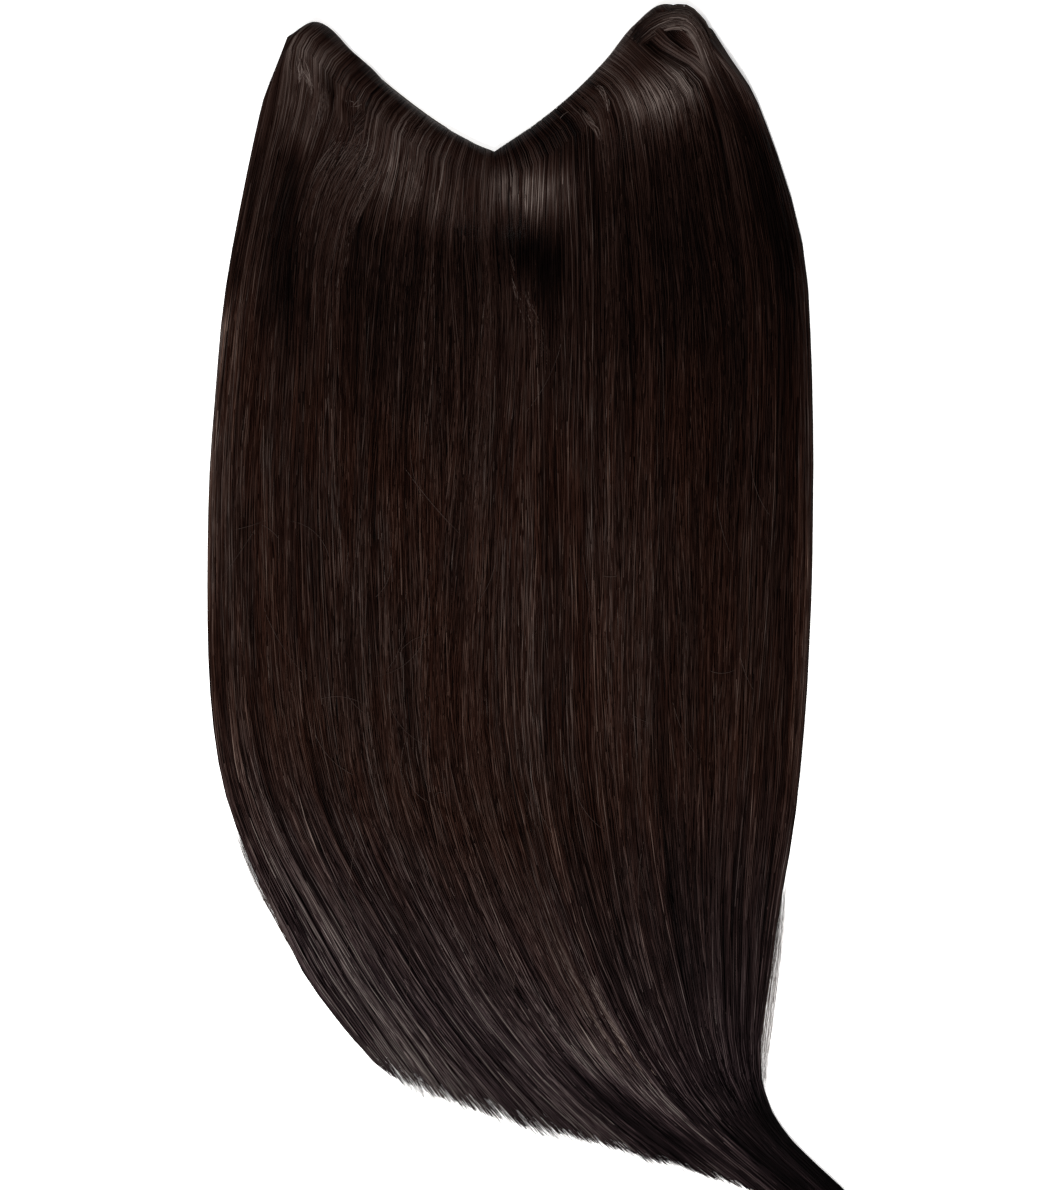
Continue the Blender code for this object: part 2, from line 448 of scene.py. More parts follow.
@dataclass(frozen=True)
class RibbonFinish(Finish):
    """The finish of the sewn band: a fine woven ribbon, worn lighter along its threads."""

    name: str = "band_ribbon"
    ground: tuple = (0.060, 0.050, 0.045)
    thread: tuple = (0.260, 0.235, 0.215)
    # How high the weave is where it is all ground and all thread
    shades: tuple = (0.1, 0.8)
    rib: float = 2600.0
    bump: float = 0.5
    bump_depth: float = 0.0002
    roughness: float = 0.82

    def paint(self, graph: Graph, surface: bpy.types.NodeInputs) -> None:
        """Set the ribbon's colour, relief and roughness.

        Args:
            graph: The material's tree.
            surface: The shader's inputs.
        """
        place = graph.add("ShaderNodeTexCoord", None, None, "Object")
        waves = [
            graph.add("ShaderNodeTexWave", {"bands_direction": axis}, {"Vector": place, "Scale": self.rib}, 1)
            for axis in "XY"
        ]
        weave = waves[0] * waves[1]
        stops = list(zip(self.shades, (self.ground, self.thread)))
        graph.feed(surface["Base Color"], graph.add("ShaderNodeValToRGB", {"stops": stops}, {0: weave}))
        graph.feed(surface["Normal"], graph.relief(weave, self.bump, self.bump_depth))
        surface["Roughness"].default_value = self.roughness


@dataclass(frozen=True)
class FloorFinish(Finish):
    """The plain pale floor, lit a little from below like a light table."""

    name: str = "studio_floor"
    color: tuple = (0.90, 0.90, 0.90)
    roughness: float = 0.9
    glow: float = 0.45

    def paint(self, graph: Graph, surface: bpy.types.NodeInputs) -> None:
        """Set the floor's even colour and glow.

        Args:
            graph: The material's tree, which gets no more nodes.
            surface: The shader's inputs.
        """
        surface["Base Color"].default_value = (*self.color, 1.0)
        surface["Roughness"].default_value = self.roughness
        surface["Specular IOR Level"].default_value = 0.0
        surface["Emission Color"].default_value = (1.0, 1.0, 1.0, 1.0)
        surface["Emission Strength"].default_value = self.glow


# The flow of the hair

class Guide(NamedTuple):
    """One line of flow from root to tip, in shares of the body's width and of the length."""

    root: tuple
    lead: tuple
    shoulder: float
    chest: float
    middle: float
    low: float
    sweep: float
    neck: tuple
    tip: tuple


# The guide that starts in the V's lowest point
NOTCH = 5
LEVELS = {"shoulder": 0.187, "chest": 0.270, "middle": 0.445, "low": 0.644, "sweep": 0.794}

# One row for each guide: root, lead, shoulder, chest, middle, low, sweep, neck, tip
GUIDES = [
    Guide((-0.369, 0.028), (-0.411, 0.084), -0.454, -0.479, -0.500, -0.477, -0.354,
          (-0.288, 0.843), (-0.228, 0.879)),
    Guide((-0.320, 0.016), (-0.361, 0.078), -0.411, -0.437, -0.454, -0.427, -0.288,
          (-0.209, 0.855), (-0.137, 0.907)),
    Guide((-0.262, 0.041), (-0.290, 0.085), -0.353, -0.366, -0.379, -0.348, -0.205,
          (-0.108, 0.866), (-0.002, 0.930)),
    Guide((-0.190, 0.072), (-0.228, 0.120), -0.278, -0.293, -0.303, -0.273, -0.136,
          (-0.019, 0.876), (0.111, 0.945)),
    Guide((-0.111, 0.101), (-0.141, 0.138), -0.162, -0.174, -0.182, -0.162, -0.046,
          (0.101, 0.896), (0.257, 0.964)),
    Guide((-0.025, 0.124), (-0.025, 0.152), -0.026, -0.017, -0.030, -0.023, 0.070,
          (0.198, 0.900), (0.396, 0.984)),
    Guide((0.036, 0.104), (0.064, 0.141), 0.065, 0.065, 0.063, 0.071, 0.146,
          (0.262, 0.904), (0.464, 0.997)),
    Guide((0.103, 0.077), (0.139, 0.120), 0.147, 0.151, 0.152, 0.159, 0.212,
          (0.311, 0.908), (0.500, 0.999)),
    Guide((0.162, 0.047), (0.224, 0.091), 0.248, 0.260, 0.255, 0.252, 0.281,
          (0.351, 0.909), (0.527, 1.000)),
    Guide((0.209, 0.018), (0.320, 0.064), 0.373, 0.386, 0.376, 0.361, 0.354,
          (0.386, 0.911), (0.550, 1.000)),
    Guide((0.262, 0.001), (0.361, 0.065), 0.430, 0.447, 0.444, 0.422, 0.397,
          (0.409, 0.911), (0.564, 0.999)),
    Guide((0.337, 0.022), (0.409, 0.080), 0.480, 0.497, 0.500, 0.479, 0.434,
          (0.423, 0.911), (0.576, 0.998)),
]


class Split(NamedTuple):
    """A valley between two panels: its guide, its depths as shares, and its half width in guides."""

    guide: float
    root_depth: float
    body_depth: float
    width: float


SPLITS = [
    Split(2.0, 0.50, 0.10, 0.22),
    Split(5.0, 0.22, 0.06, 0.12),
    Split(7.0, 0.24, 0.06, 0.26),
    Split(9.0, 0.40, 0.08, 0.20),
]


class Feature(NamedTuple):
    """A line or a spot on the hair where the surface dips, light or shade is painted, or hairs part.

    Its points are shares of the body's width from the middle and of the length from the top. Reach and push
    are in metres, light is in stops, and dent is the share of the height that is lost.
    """

    points: tuple
    reach: float
    light: float
    dent: float = 0.0
    push: float = 0.0


# Each feature's light is painted into the hair's colour, in stops: painted shade in the hollows, valleys and
# gaps, under the lower lock and where the hair falls away behind the roll, painted sheens on the rolled edge,
# and lighter or darker streaks and patches elsewhere
FEATURES = {
    "centre_hollow": Feature(((0.033, 0.208), (0.062, 0.219)), 0.0110, -2.5, 0.24),
    "left_valley": Feature(((-0.358, 0.135), (-0.366, 0.162), (-0.374, 0.237)), 0.0085, -1.9, 0.22),
    "left_front": Feature(((-0.350, 0.085), (-0.338, 0.122)), 0.0100, 0.7),
    "seam": Feature(((-0.262, 0.045), (-0.286, 0.066), (-0.283, 0.088), (-0.306, 0.120)), 0.0025, -0.5, 0.30),
    "seam_hole": Feature(((-0.265, 0.083), (-0.245, 0.092)), 0.0040, -0.9, 0.28, 0.0020),
    "right_split": Feature(
        ((0.096, 0.093), (0.132, 0.113), (0.149, 0.145), (0.149, 0.187)), 0.0035, -0.2, 0.15
    ),
    "peak_gap": Feature(((0.262, 0.020), (0.288, 0.035), (0.315, 0.060), (0.351, 0.085)), 0.0035, -1.3, 0.35),
    "upper_right_dark": Feature(((0.285, 0.172), (0.340, 0.172), (0.425, 0.275)), 0.0600, -1.4),
    "right_shoulder": Feature(((0.402, 0.112), (0.430, 0.150), (0.462, 0.205)), 0.0120, -1.3),
    "right_peak_side": Feature(((0.355, 0.042), (0.388, 0.078)), 0.0065, 1.1),
    "upper_dark": Feature(((-0.364, 0.232), (0.149, 0.224)), 0.0420, -0.8),
    "right_body": Feature(((0.300, 0.340), (0.340, 0.600)), 0.0600, -0.3),
    "centre_body": Feature(((0.045, 0.250), (0.020, 0.600)), 0.0240, 0.4),
    "centre_line": Feature(((0.058, 0.350), (0.056, 0.450)), 0.0080, -0.5),
    "centre_right": Feature(((0.122, 0.195), (0.126, 0.250), (0.128, 0.640)), 0.0120, 0.45),
    "split_glow": Feature(((0.118, 0.188), (0.126, 0.220)), 0.0120, 0.7),
    "centre_left_glow": Feature(((-0.008, 0.226), (-0.008, 0.265)), 0.0120, 0.6),
    "centre_left": Feature(((-0.008, 0.420), (-0.006, 0.640)), 0.0120, 0.4),
    "right_line": Feature(((0.389, 0.370), (0.389, 0.530)), 0.0120, -0.5),
    "under_sheen": Feature(((-0.155, 0.196), (-0.015, 0.198)), 0.0120, -0.6),
    "left_flank": Feature(((-0.420, 0.215), (-0.470, 0.275)), 0.0110, 0.6),
    "sweep_light": Feature(
        ((-0.273, 0.695), (-0.208, 0.762), (-0.141, 0.828), (-0.075, 0.862), (-0.008, 0.895)), 0.0110, 0.45
    ),
    "neck": Feature(((0.392, 0.893), (0.392, 0.905)), 0.0080, 0.5),
    "left_of_notch": Feature(((-0.160, 0.098), (-0.110, 0.114), (-0.055, 0.129)), 0.0080, 0.9),
    "tips_glow": Feature(((-0.200, 0.868), (-0.060, 0.905), (0.060, 0.930), (0.150, 0.948)), 0.0100, 0.8),
    "fall_shade": Feature(((-0.273, 0.165), (-0.273, 0.215)), 0.0110, -0.4),
    "valley_side": Feature(((-0.339, 0.160), (-0.339, 0.200)), 0.0080, 0.5),
    "split_shade": Feature(((0.190, 0.098), (0.190, 0.130)), 0.0100, -0.5),
    "low_streak": Feature(((0.257, 0.795), (0.257, 0.830)), 0.0100, 0.4),
    "low_shade": Feature(((0.323, 0.790), (0.323, 0.805)), 0.0100, -0.5),
    "low_middle_streak": Feature(((0.050, 0.825), (0.070, 0.862)), 0.0100, 0.4),
    "sweep_dark": Feature(((-0.150, 0.715), (-0.130, 0.750)), 0.0130, -0.5),
    "right_rim": Feature(((0.470, 0.560), (0.455, 0.615)), 0.0080, 0.6),
    "right_glow": Feature(((0.323, 0.290), (0.323, 0.345)), 0.0120, 0.5),
    "left_low_rim": Feature(((-0.468, 0.600), (-0.455, 0.640)), 0.0070, 0.5),
    "left_line": Feature(((-0.273, 0.490), (-0.273, 0.545)), 0.0120, -0.5),
    "left_glow": Feature(((-0.339, 0.555), (-0.330, 0.610)), 0.0120, 0.5),
    "left_upper": Feature(((-0.207, 0.262), (-0.207, 0.345)), 0.0140, -0.35),
    "right_strip": Feature(((0.199, 0.278), (0.199, 0.412)), 0.0150, -0.5),
    "left_mid": Feature(((-0.235, 0.190), (-0.225, 0.400)), 0.0200, -0.6),
    "left_rim": Feature(((-0.467, 0.262), (-0.485, 0.345), (-0.493, 0.445), (-0.492, 0.485)), 0.0070, 1.4),
    "lower_right": Feature(((0.323, 0.720), (0.325, 0.795), (0.345, 0.880)), 0.0210, -1.2),
    "lower_middle": Feature(((0.190, 0.712), (0.215, 0.828)), 0.0300, -0.5),
    "lock_glow": Feature(((0.120, 0.864), (0.155, 0.880), (0.205, 0.900), (0.275, 0.930)), 0.0055, 1.8),
    "under_lock": Feature(((0.170, 0.911), (0.245, 0.936), (0.300, 0.953)), 0.0085, -2.5, 0.20),
    "tail": Feature(((0.439, 0.932), (0.488, 0.958), (0.563, 0.987)), 0.0230, -4.0),
    "low_left": Feature(((-0.440, 0.720), (-0.315, 0.807), (-0.116, 0.899)), 0.0260, 0.6),
    "low_sweep": Feature(((-0.149, 0.828), (0.083, 0.878)), 0.0450, -0.1),
    "left_peak": Feature(((-0.348, 0.028), (-0.328, 0.045)), 0.0110, 1.6),
    "left_arm": Feature(((-0.290, 0.053), (-0.262, 0.090)), 0.0110, 0.9),
    "right_arm": Feature(((0.166, 0.050), (0.216, 0.015)), 0.0070, 1.6),
    "right_arm_low": Feature(((0.105, 0.085), (0.135, 0.098)), 0.0060, 0.6),
    # Painted sheens where the hair rolls over the band's edge
    "centre_sheen": Feature(((0.004, 0.152), (0.045, 0.161), (0.078, 0.155)), 0.0110, 2.9),
    "left_sheen": Feature(((-0.205, 0.128), (-0.120, 0.163), (-0.045, 0.172)), 0.0150, 0.9),
    "right_sheen": Feature(((0.222, 0.083), (0.262, 0.078), (0.300, 0.062)), 0.0125, 3.0),
}


def unit(vectors: np.ndarray) -> np.ndarray:
    """Return vectors scaled to a length of one."""
    return vectors / np.maximum(np.linalg.norm(vectors, axis=-1, keepdims=True), 1e-12)


def smooth_chain(points: np.ndarray, steps: int) -> np.ndarray:
    """Return points along smooth curves through the given ones.

    Args:
        points: The points, with the way along the curve as the first axis and coordinates as the last.
        steps: The number of steps between each two points.

    Returns:
        The finer points, laid out the same way.
    """
    start, end = points[:-1], points[1:]
    before = np.concatenate([points[:1], points[:-2]])
    after = np.concatenate([points[2:], points[-1:]])
    reach = np.linalg.norm(end - start, axis=-1, keepdims=True) / 3
    leave = start + unit(end - before) * reach
    arrive = end - unit(after - start) * reach
    t = np.linspace(0, 1, steps, endpoint=False).reshape((1, steps) + (1,) * (points.ndim - 1))
    p0, p1, p2, p3 = (knot[:, None] for knot in (start, leave, arrive, end))
    curve = (1 - t) ** 3 * p0 + 3 * (1 - t) ** 2 * t * p1 + 3 * (1 - t) * t**2 * p2 + t**3 * p3
    return np.concatenate([curve.reshape((-1,) + points.shape[1:]), points[-1:]])


def ease(values: np.ndarray) -> np.ndarray:
    """Return values eased between 0 and 1."""
    values = np.clip(values, 0, 1)
    return values * values * (3 - 2 * values)


@dataclass
class FlowSheet:
    """The surface on which the hair lies, worked out from the frame's box and the guides."""

    low: Vector
    high: Vector
    # How much of the box's width the body has: the tips reach past it
    body_width_share: float = 0.928
    # The band's width and top
    band_width: float = 0.014
    band_top: float = 0.0019
    roll_height: float = 0.0172
    roll_reach: float = 0.018
    roll_edge_height: float = 0.0060
    roll_fall: float = 0.044
    body_height: float = 0.0095
    sweep_height: float = 0.0080
    tip_height: float = 0.0020
    least_height: float = 0.0012
    side_height: float = 0.0018
    # The guides over which the pile rises from its sides, and how fast it thins towards the tips
    side_reach: float = 1.0
    thinning: int = 4
    # Splits: how deep they start at the root, and how long they stay deep, in falls of the roll
    split_start: float = 0.3
    split_falls: float = 3.0
    # Painted shade at the band's edge: stops, the distance up to which it is whole, and the way to its end
    edge_shade: float = 0.6
    edge_whole: float = 0.006
    edge_fade: float = 0.016
    notch_reach: float = 0.06
    # The fine grid: columns to a guide, rows in all, and steps between two stations of a guide
    columns: int = 20
    rows: int = 300
    path_steps: int = 24
    tree: KDTree | None = None

    def __post_init__(self) -> None:
        """Work out the plan of the flow as a fine grid."""
        self.width = (self.high.x - self.low.x) * self.body_width_share
        self.length = self.high.y - self.low.y
        roots = np.array([self.place(*guide.root) for guide in GUIDES])
        ways = self.root_ways(roots)
        paths = []
        for guide, root, way in zip(GUIDES, roots, ways):
            levels = [self.place(getattr(guide, name), down) for name, down in LEVELS.items()]
            stations = [root, root + way * self.band_width, self.place(*guide.lead), *levels]
            stations += [self.place(*guide.neck), self.place(*guide.tip)]
            paths.append(self.even_path(smooth_chain(np.array(stations), self.path_steps)))
        self.plan = self.notched(np.array(paths))
        self.lengths = np.linalg.norm(np.diff(self.plan, axis=1), axis=-1).sum(axis=1)

    def place(self, across: float, down: float) -> np.ndarray:
        """Return the plan position of a place given in shares."""
        return np.array([self.low.x + (across + 0.5) * self.width, self.high.y - down * self.length])

    def root_ways(self, roots: np.ndarray) -> np.ndarray:
        """Return the way in which each guide leaves its root.

        Args:
            roots: The guides' roots.

        Returns:
            The ways: square to the edge, but towards the lead for the outermost two.
        """
        along = unit(np.diff(roots[1:-1], axis=0))
        square = np.stack([along[:, 1], -along[:, 0]], axis=-1)
        inner = unit(np.concatenate([square[:1], square[:-1] + square[1:], square[-1:]]))
        outer = [unit(self.place(*GUIDES[end].lead) - roots[end])[None] for end in (0, -1)]
        return np.concatenate([outer[0], inner, outer[1]])

    def notched(self, paths: np.ndarray) -> np.ndarray:
        """Return the grid through the guides' paths.

        Args:
            paths: The guides' paths.

        Returns:
            The grid: smooth across the paths, but with a corner in the V's lowest point.
        """
        grid = smooth_chain(paths, self.columns)
        share = np.linspace(0, 1, self.rows + 1)[:, None]
        for cell in (NOTCH - 1, NOTCH):
            for step in range(1, self.columns):
                straight = paths[cell] + (paths[cell + 1] - paths[cell]) * step / self.columns
                place = grid[cell * self.columns + step]
                place += (straight - place) * (1 - ease(share / self.notch_reach))
        return grid

    def even_path(self, path: np.ndarray) -> np.ndarray:
        """Return a path in even steps.

        Args:
            path: The path's points.

        Returns:
            Points at even shares of its length.
        """
        reached = np.concatenate([[0], np.linalg.norm(np.diff(path, axis=0), axis=1).cumsum()])
        wanted = np.linspace(0, reached[-1], self.rows + 1)
        return np.stack([np.interp(wanted, reached, path[:, axis]) for axis in (0, 1)], axis=-1)

    def corner(self, value: np.ndarray, cells: int) -> tuple[np.ndarray, np.ndarray]:
        """Return the grid cell below a value, and how far into it the value lies, past the ends too."""
        cell = np.clip(np.floor(value), 0, cells - 1).astype(int)
        return cell, value - cell

    def position(self, guide: np.ndarray, share: np.ndarray) -> np.ndarray:
        """Return places in plan.

        Args:
            guide: Guide numbers.
            share: Shares of the way, of the same shape.

        Returns:
            The places, interpolated in the fine grid.
        """
        i, a = self.corner(guide * self.columns, len(self.plan) - 1)
        j, b = self.corner(share * self.rows, self.rows)
        a, b = a[..., None], b[..., None]
        near = self.plan[i, j] * (1 - a) + self.plan[i + 1, j] * a
        far = self.plan[i, j + 1] * (1 - a) + self.plan[i + 1, j + 1] * a
        return near * (1 - b) + far * b

    def strand_length(self, guide: np.ndarray) -> np.ndarray:
        """Return the length of the hair at guide numbers."""
        numbers = np.arange(len(self.lengths)) / self.columns
        return np.interp(guide, numbers, self.lengths)

    def pile(self, distance: np.ndarray, share: np.ndarray) -> np.ndarray:
        """Return the full height of the pile along a strand.

        Args:
            distance: Distances from the root.
            share: The same places as shares of the way.

        Returns:
            The heights: a rolled edge, the body, and thin tips.
        """
        rise = np.sqrt(np.clip(1 - (1 - np.clip(distance / self.roll_reach, 0, 1)) ** 2, 0, 1))
        rolled = self.roll_edge_height + (self.roll_height - self.roll_edge_height) * rise
        fall = ease((distance - self.roll_reach) / self.roll_fall)
        body = self.body_height + (self.sweep_height - self.body_height) * share
        thinned = body + (self.tip_height - body) * np.clip(share, 0, 1) ** self.thinning
        return rolled + (thinned - rolled) * fall

    def height(self, guide: np.ndarray, share: np.ndarray) -> np.ndarray:
        """Return the height of the hair's surface.

        Args:
            guide: Guide numbers.
            share: Shares of the way, of the same shape.

        Returns:
            The heights over the floor, with the splits and the dents.
        """
        distance = share * self.strand_length(guide)
        top = self.pile(distance, share)
        last = len(GUIDES) - 1
        inward = np.clip(np.minimum(guide, last - guide) / self.side_reach, 0, 1)
        side = np.sqrt(1 - (1 - inward) ** 2)
        top = self.side_height + (top - self.side_height) * side
        near_root = 1 - ease((distance - self.roll_reach) / (self.split_falls * self.roll_fall))
        for split in SPLITS:
            depth = split.body_depth + (split.root_depth - split.body_depth) * near_root
            depth = depth * ease(distance / self.roll_reach + self.split_start)
            top = top * (1 - depth * np.exp(-(((guide - split.guide) / split.width) ** 2)))
        place = self.position(guide, share)
        for feature in FEATURES.values():
            top = top * (1 - feature.dent * self.nearness(feature, place))
        return np.maximum(top, self.least_height)

    def nearness(self, feature: Feature, place: np.ndarray) -> np.ndarray:
        """Return how near places are to a feature's line.

        Args:
            feature: The feature.
            place: The places in plan.

        Returns:
            Numbers from 1 on the line to 0 far away.
        """
        points = [self.place(*point) for point in feature.points]
        squares = []
        for start, end in zip(points, points[1:]):
            way = end - start
            reached = np.clip(((place - start) @ way) / (way @ way), 0, 1)
            squares.append((((start + reached[..., None] * way) - place) ** 2).sum(axis=-1))
        return np.exp(-np.min(squares, axis=0) / feature.reach**2)

    def light(self, guide: np.ndarray, share: np.ndarray) -> np.ndarray:
        """Return the light and shade painted on the hair.

        Args:
            guide: Guide numbers.
            share: Shares of the way, of the same shape.

        Returns:
            The painted light in stops: painted shade at the band's edge, plus each feature's painted light or
                shade.
        """
        place = self.position(guide, share)
        distance = share * self.strand_length(guide)
        light = -self.edge_shade * (1 - ease((distance - self.edge_whole) / self.edge_fade))
        for feature in FEATURES.values():
            light = light + feature.light * self.nearness(feature, place)
        return light

    def parted(self, place: np.ndarray) -> np.ndarray:
        """Return places with the hair parted.

        Args:
            place: The places in plan.

        Returns:
            The places, pushed away from the features that part the hair.
        """
        for feature in FEATURES.values():
            if feature.push:
                middle = np.mean([self.place(*point) for point in feature.points], axis=0)
                near = self.nearness(feature, place)[..., None]
                place = place + unit(place - middle) * near * feature.push
        return place

    def find(self, place: np.ndarray) -> tuple[np.ndarray, np.ndarray]:
        """Return where on the sheet places in plan are.

        Args:
            place: The places.

        Returns:
            The nearest guide numbers and shares of the way.
        """
        if self.tree is None:
            nodes = self.plan.reshape(-1, 2)
            self.tree = KDTree(len(nodes))
            for number, node in enumerate(nodes):
                self.tree.insert((*node, 0.0), number)
            self.tree.balance()
        found = np.array([self.tree.find((*point, 0.0))[1] for point in place.reshape(-1, 2)])
        found = found.reshape(place.shape[:-1])
        return (found // self.plan.shape[1]) / self.columns, (found % self.plan.shape[1]) / self.rows


# Meshes

# A pile's map: the width of each grid's part, the start of the lower one's, and the two sides of the rim's
PART_WIDTH = 0.48
LOWER_START = 0.52
RIM_SIDES = (0.49, 0.51)


def closed_grid(name: str, tops: np.ndarray, bottoms: np.ndarray) -> bpy.types.Mesh:
    """Return a mesh closed round an upper and a lower grid of points, with a map of its own.

    Args:
        name: The mesh's name.
        tops: The upper grid, rows running down as seen from above.
        bottoms: The lower grid, of the same shape.

    Returns:
        The mesh. Its map holds the upper grid on the left, then the rim, then the lower grid.
    """
    rows, columns = tops.shape[:2]
    count = rows * columns
    index = np.arange(count).reshape(rows, columns)
    upper = [index[:-1, :-1], index[1:, :-1], index[1:, 1:], index[:-1, 1:]]
    top_faces = np.stack([part.ravel() for part in upper], axis=-1)
    bottom_faces = top_faces[:, ::-1] + count
    rim = np.concatenate([index[:-1, 0], index[-1, :-1], index[:0:-1, -1], index[0, :0:-1]])
    onward = np.roll(rim, -1)
    rim_faces = np.stack([onward, rim, rim + count, onward + count], axis=-1)
    faces = np.concatenate([top_faces, bottom_faces, rim_faces])
    mesh = bpy.data.meshes.new(name)
    points = np.concatenate([tops.reshape(-1, 3), bottoms.reshape(-1, 3)])
    mesh.from_pydata(points.tolist(), [], faces.tolist())
    across, down = np.meshgrid(np.linspace(0, 1, columns), np.linspace(0, 1, rows))
    flat = np.stack([across.ravel(), down.ravel()], axis=-1)
    top_map = flat[top_faces] * (PART_WIDTH, 1.0)
    bottom_map = flat[bottom_faces - count] * (PART_WIDTH, 1.0) + (LOWER_START, 0.0)
    reach = np.linspace(0, 1, len(rim) + 1)
    rim_map = np.empty((len(rim), 4, 2))
    rim_map[:, (0, 3), 1] = reach[1:, None]
    rim_map[:, (1, 2), 1] = reach[:-1, None]
    rim_map[:, (0, 1), 0] = RIM_SIDES[0]
    rim_map[:, (2, 3), 0] = RIM_SIDES[1]
    layer = mesh.uv_layers.new(name=MAP_NAME)
    layer.data.foreach_set("uv", np.concatenate([top_map, bottom_map, rim_map]).ravel())
    mesh.update()
    return mesh


def add_object(name: str, mesh: bpy.types.Mesh) -> bpy.types.Object:
    """Put a mesh in the scene.

    Args:
        name: The object's name.
        mesh: Its mesh.

    Returns:
        The object.
    """
    made = bpy.data.objects.new(name, mesh)
    bpy.context.scene.collection.objects.link(made)
    return made


def settle(piece: bpy.types.Object, slot: str, *nodes: str) -> None:
    """Make a finished piece part of the weft.

    Args:
        piece: The piece.
        slot: Not used.
        nodes: The solids that it stands for, if any.
    """
    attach(piece, "root")
    if nodes:
        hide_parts(*nodes)
    triangles = sum(len(face.vertices) - 2 for face in piece.data.polygons)
    log.info("%s: %d triangles", piece.name, triangles)


class SweepTree:
    """Geometry Nodes that turn lines of points into thin closed hairs with their two maps."""

    inputs = {
        "Sides": ("NodeSocketInt", 3),
        "Radius": ("NodeSocketFloat", 0.0002),
        "Frizz": ("NodeSocketFloat", 0.0001),
        "Frizz scale": ("NodeSocketFloat", 60.0),
        "Seed": ("NodeSocketInt", 1),
        "Columns": ("NodeSocketInt", 128),
        "Finish": ("NodeSocketMaterial", None),
    }
    # The numbers on the points, which aren't kept once the maps are made
    numbers = ("around", "column", "along", "light", "strand", "thick", "loose")
    # How far two seeds lie apart in the noise
    seed_step = 7.3
    # How much of its column a hair takes, and of its number's whole step in the second map, with the margins
    ring_share, ring_margin = 0.8, 0.1
    run_share, run_margin = 0.99, 0.005

    def __init__(self) -> None:
        """Build the tree."""
        self.tree = bpy.data.node_groups.new("sweep_hairs", "GeometryNodeTree")
        face = self.tree.interface
        face.new_socket("Geometry", in_out="INPUT", socket_type="NodeSocketGeometry")
        face.new_socket("Geometry", in_out="OUTPUT", socket_type="NodeSocketGeometry")
        self.identifiers = {}
        for name, (kind, default) in self.inputs.items():
            made = face.new_socket(name, in_out="INPUT", socket_type=kind)
            if default is not None:
                made.default_value = default
            self.identifiers[name] = made.identifier
        graph = Graph(self.tree)
        given = self.tree.nodes.new("NodeGroupInput")
        value = {socket.name: Socket(graph, socket) for socket in given.outputs if socket.name}
        frizzed = self.frizz(graph, value)
        lines = graph.add("GeometryNodeMeshToCurve", None, {"Mesh": frizzed})
        swept = self.sweep(graph, value, lines)
        mapped = self.lay_maps(graph, value, swept)
        smooth = graph.add("GeometryNodeSetShadeSmooth", None, {"Geometry": mapped})
        real = graph.add("GeometryNodeRealizeInstances", None, {"Geometry": smooth})
        dressed = graph.add("GeometryNodeSetMaterial", None, {"Geometry": real, "Material": value["Finish"]})
        graph.add("NodeGroupOutput", None, {"Geometry": dressed})

    @staticmethod
    def named(graph: Graph, name: str) -> Socket:
        """Return a named number on the points."""
        return graph.add("GeometryNodeInputNamedAttribute", {"data_type": "FLOAT"}, {"Name": name})

    def frizz(self, graph: Graph, value: dict[str, Socket]) -> Socket:
        """Move the points a little by noise.

        Args:
            graph: The tree.
            value: The named inputs.

        Returns:
            The points, moved less where they are less loose.
        """
        seed = graph.add("ShaderNodeCombineXYZ", None, {"Z": value["Seed"] * self.seed_step})
        shift = graph.add(
            "ShaderNodeVectorMath", {"operation": "ADD"}, {0: graph.add("GeometryNodeInputPosition"), 1: seed}
        )
        pattern = {"Vector": shift, "Scale": value["Frizz scale"], "Detail": 1.0}
        noise = graph.add("ShaderNodeTexNoise", None, pattern, "Color")
        centred = graph.add("ShaderNodeVectorMath", {"operation": "SUBTRACT"}, {0: noise, 1: (0.5, 0.5, 0.5)})
        amount = value["Frizz"] * self.named(graph, "loose")
        offset = graph.add("ShaderNodeVectorMath", {"operation": "SCALE"}, {0: centred, "Scale": amount})
        return graph.add("GeometryNodeSetPosition", None, {"Geometry": value["Geometry"], "Offset": offset})

    def sweep(self, graph: Graph, value: dict[str, Socket], lines: Socket) -> Socket:
        """Sweep the lines with a small ring.

        Args:
            graph: The tree.
            value: The named inputs.
            lines: The lines.

        Returns:
            Closed hairs, with the way round the ring stored as a number.
        """
        shape = {"Resolution": value["Sides"], "Radius": 1.0}
        ring = graph.add("GeometryNodeCurvePrimitiveCircle", None, shape)
        marked = graph.add(
            "GeometryNodeStoreNamedAttribute", {"data_type": "FLOAT", "domain": "POINT"},
            {"Geometry": ring, "Name": "around", "Value": graph.add("GeometryNodeSplineParameter")},
        )
        size = value["Radius"] * self.named(graph, "thick")
        return graph.add(
            "GeometryNodeCurveToMesh", None,
            {"Curve": lines, "Profile Curve": marked, "Scale": size, "Fill Caps": True},
        )

    def lay_maps(self, graph: Graph, value: dict[str, Socket], swept: Socket) -> Socket:
        """Give the hairs their two maps.

        Args:
            graph: The tree.
            value: The named inputs.
            swept: The hairs.

        Returns:
            The hairs with column and way along in one map, painted light and shade and the hair's number in
            the other.
        """
        around = self.named(graph, "around") * self.ring_share
        across = (self.named(graph, "column") + around + self.ring_margin) / value["Columns"]
        along = self.named(graph, "along")
        run = self.named(graph, "strand") + along * self.run_share + self.run_margin
        mapped = swept
        for name, x, y in ((MAP_NAME, across, along), (FLOW_NAME, self.named(graph, "light"), run)):
            place = graph.add("ShaderNodeCombineXYZ", None, {"X": x, "Y": y})
            mapped = graph.add(
                "GeometryNodeStoreNamedAttribute", {"data_type": "FLOAT2", "domain": "CORNER"},
                {"Geometry": mapped, "Name": name, "Value": place},
            )
        for name in self.numbers:
            mapped = graph.add("GeometryNodeRemoveAttribute", None, {"Geometry": mapped, "Name": name})
        return mapped

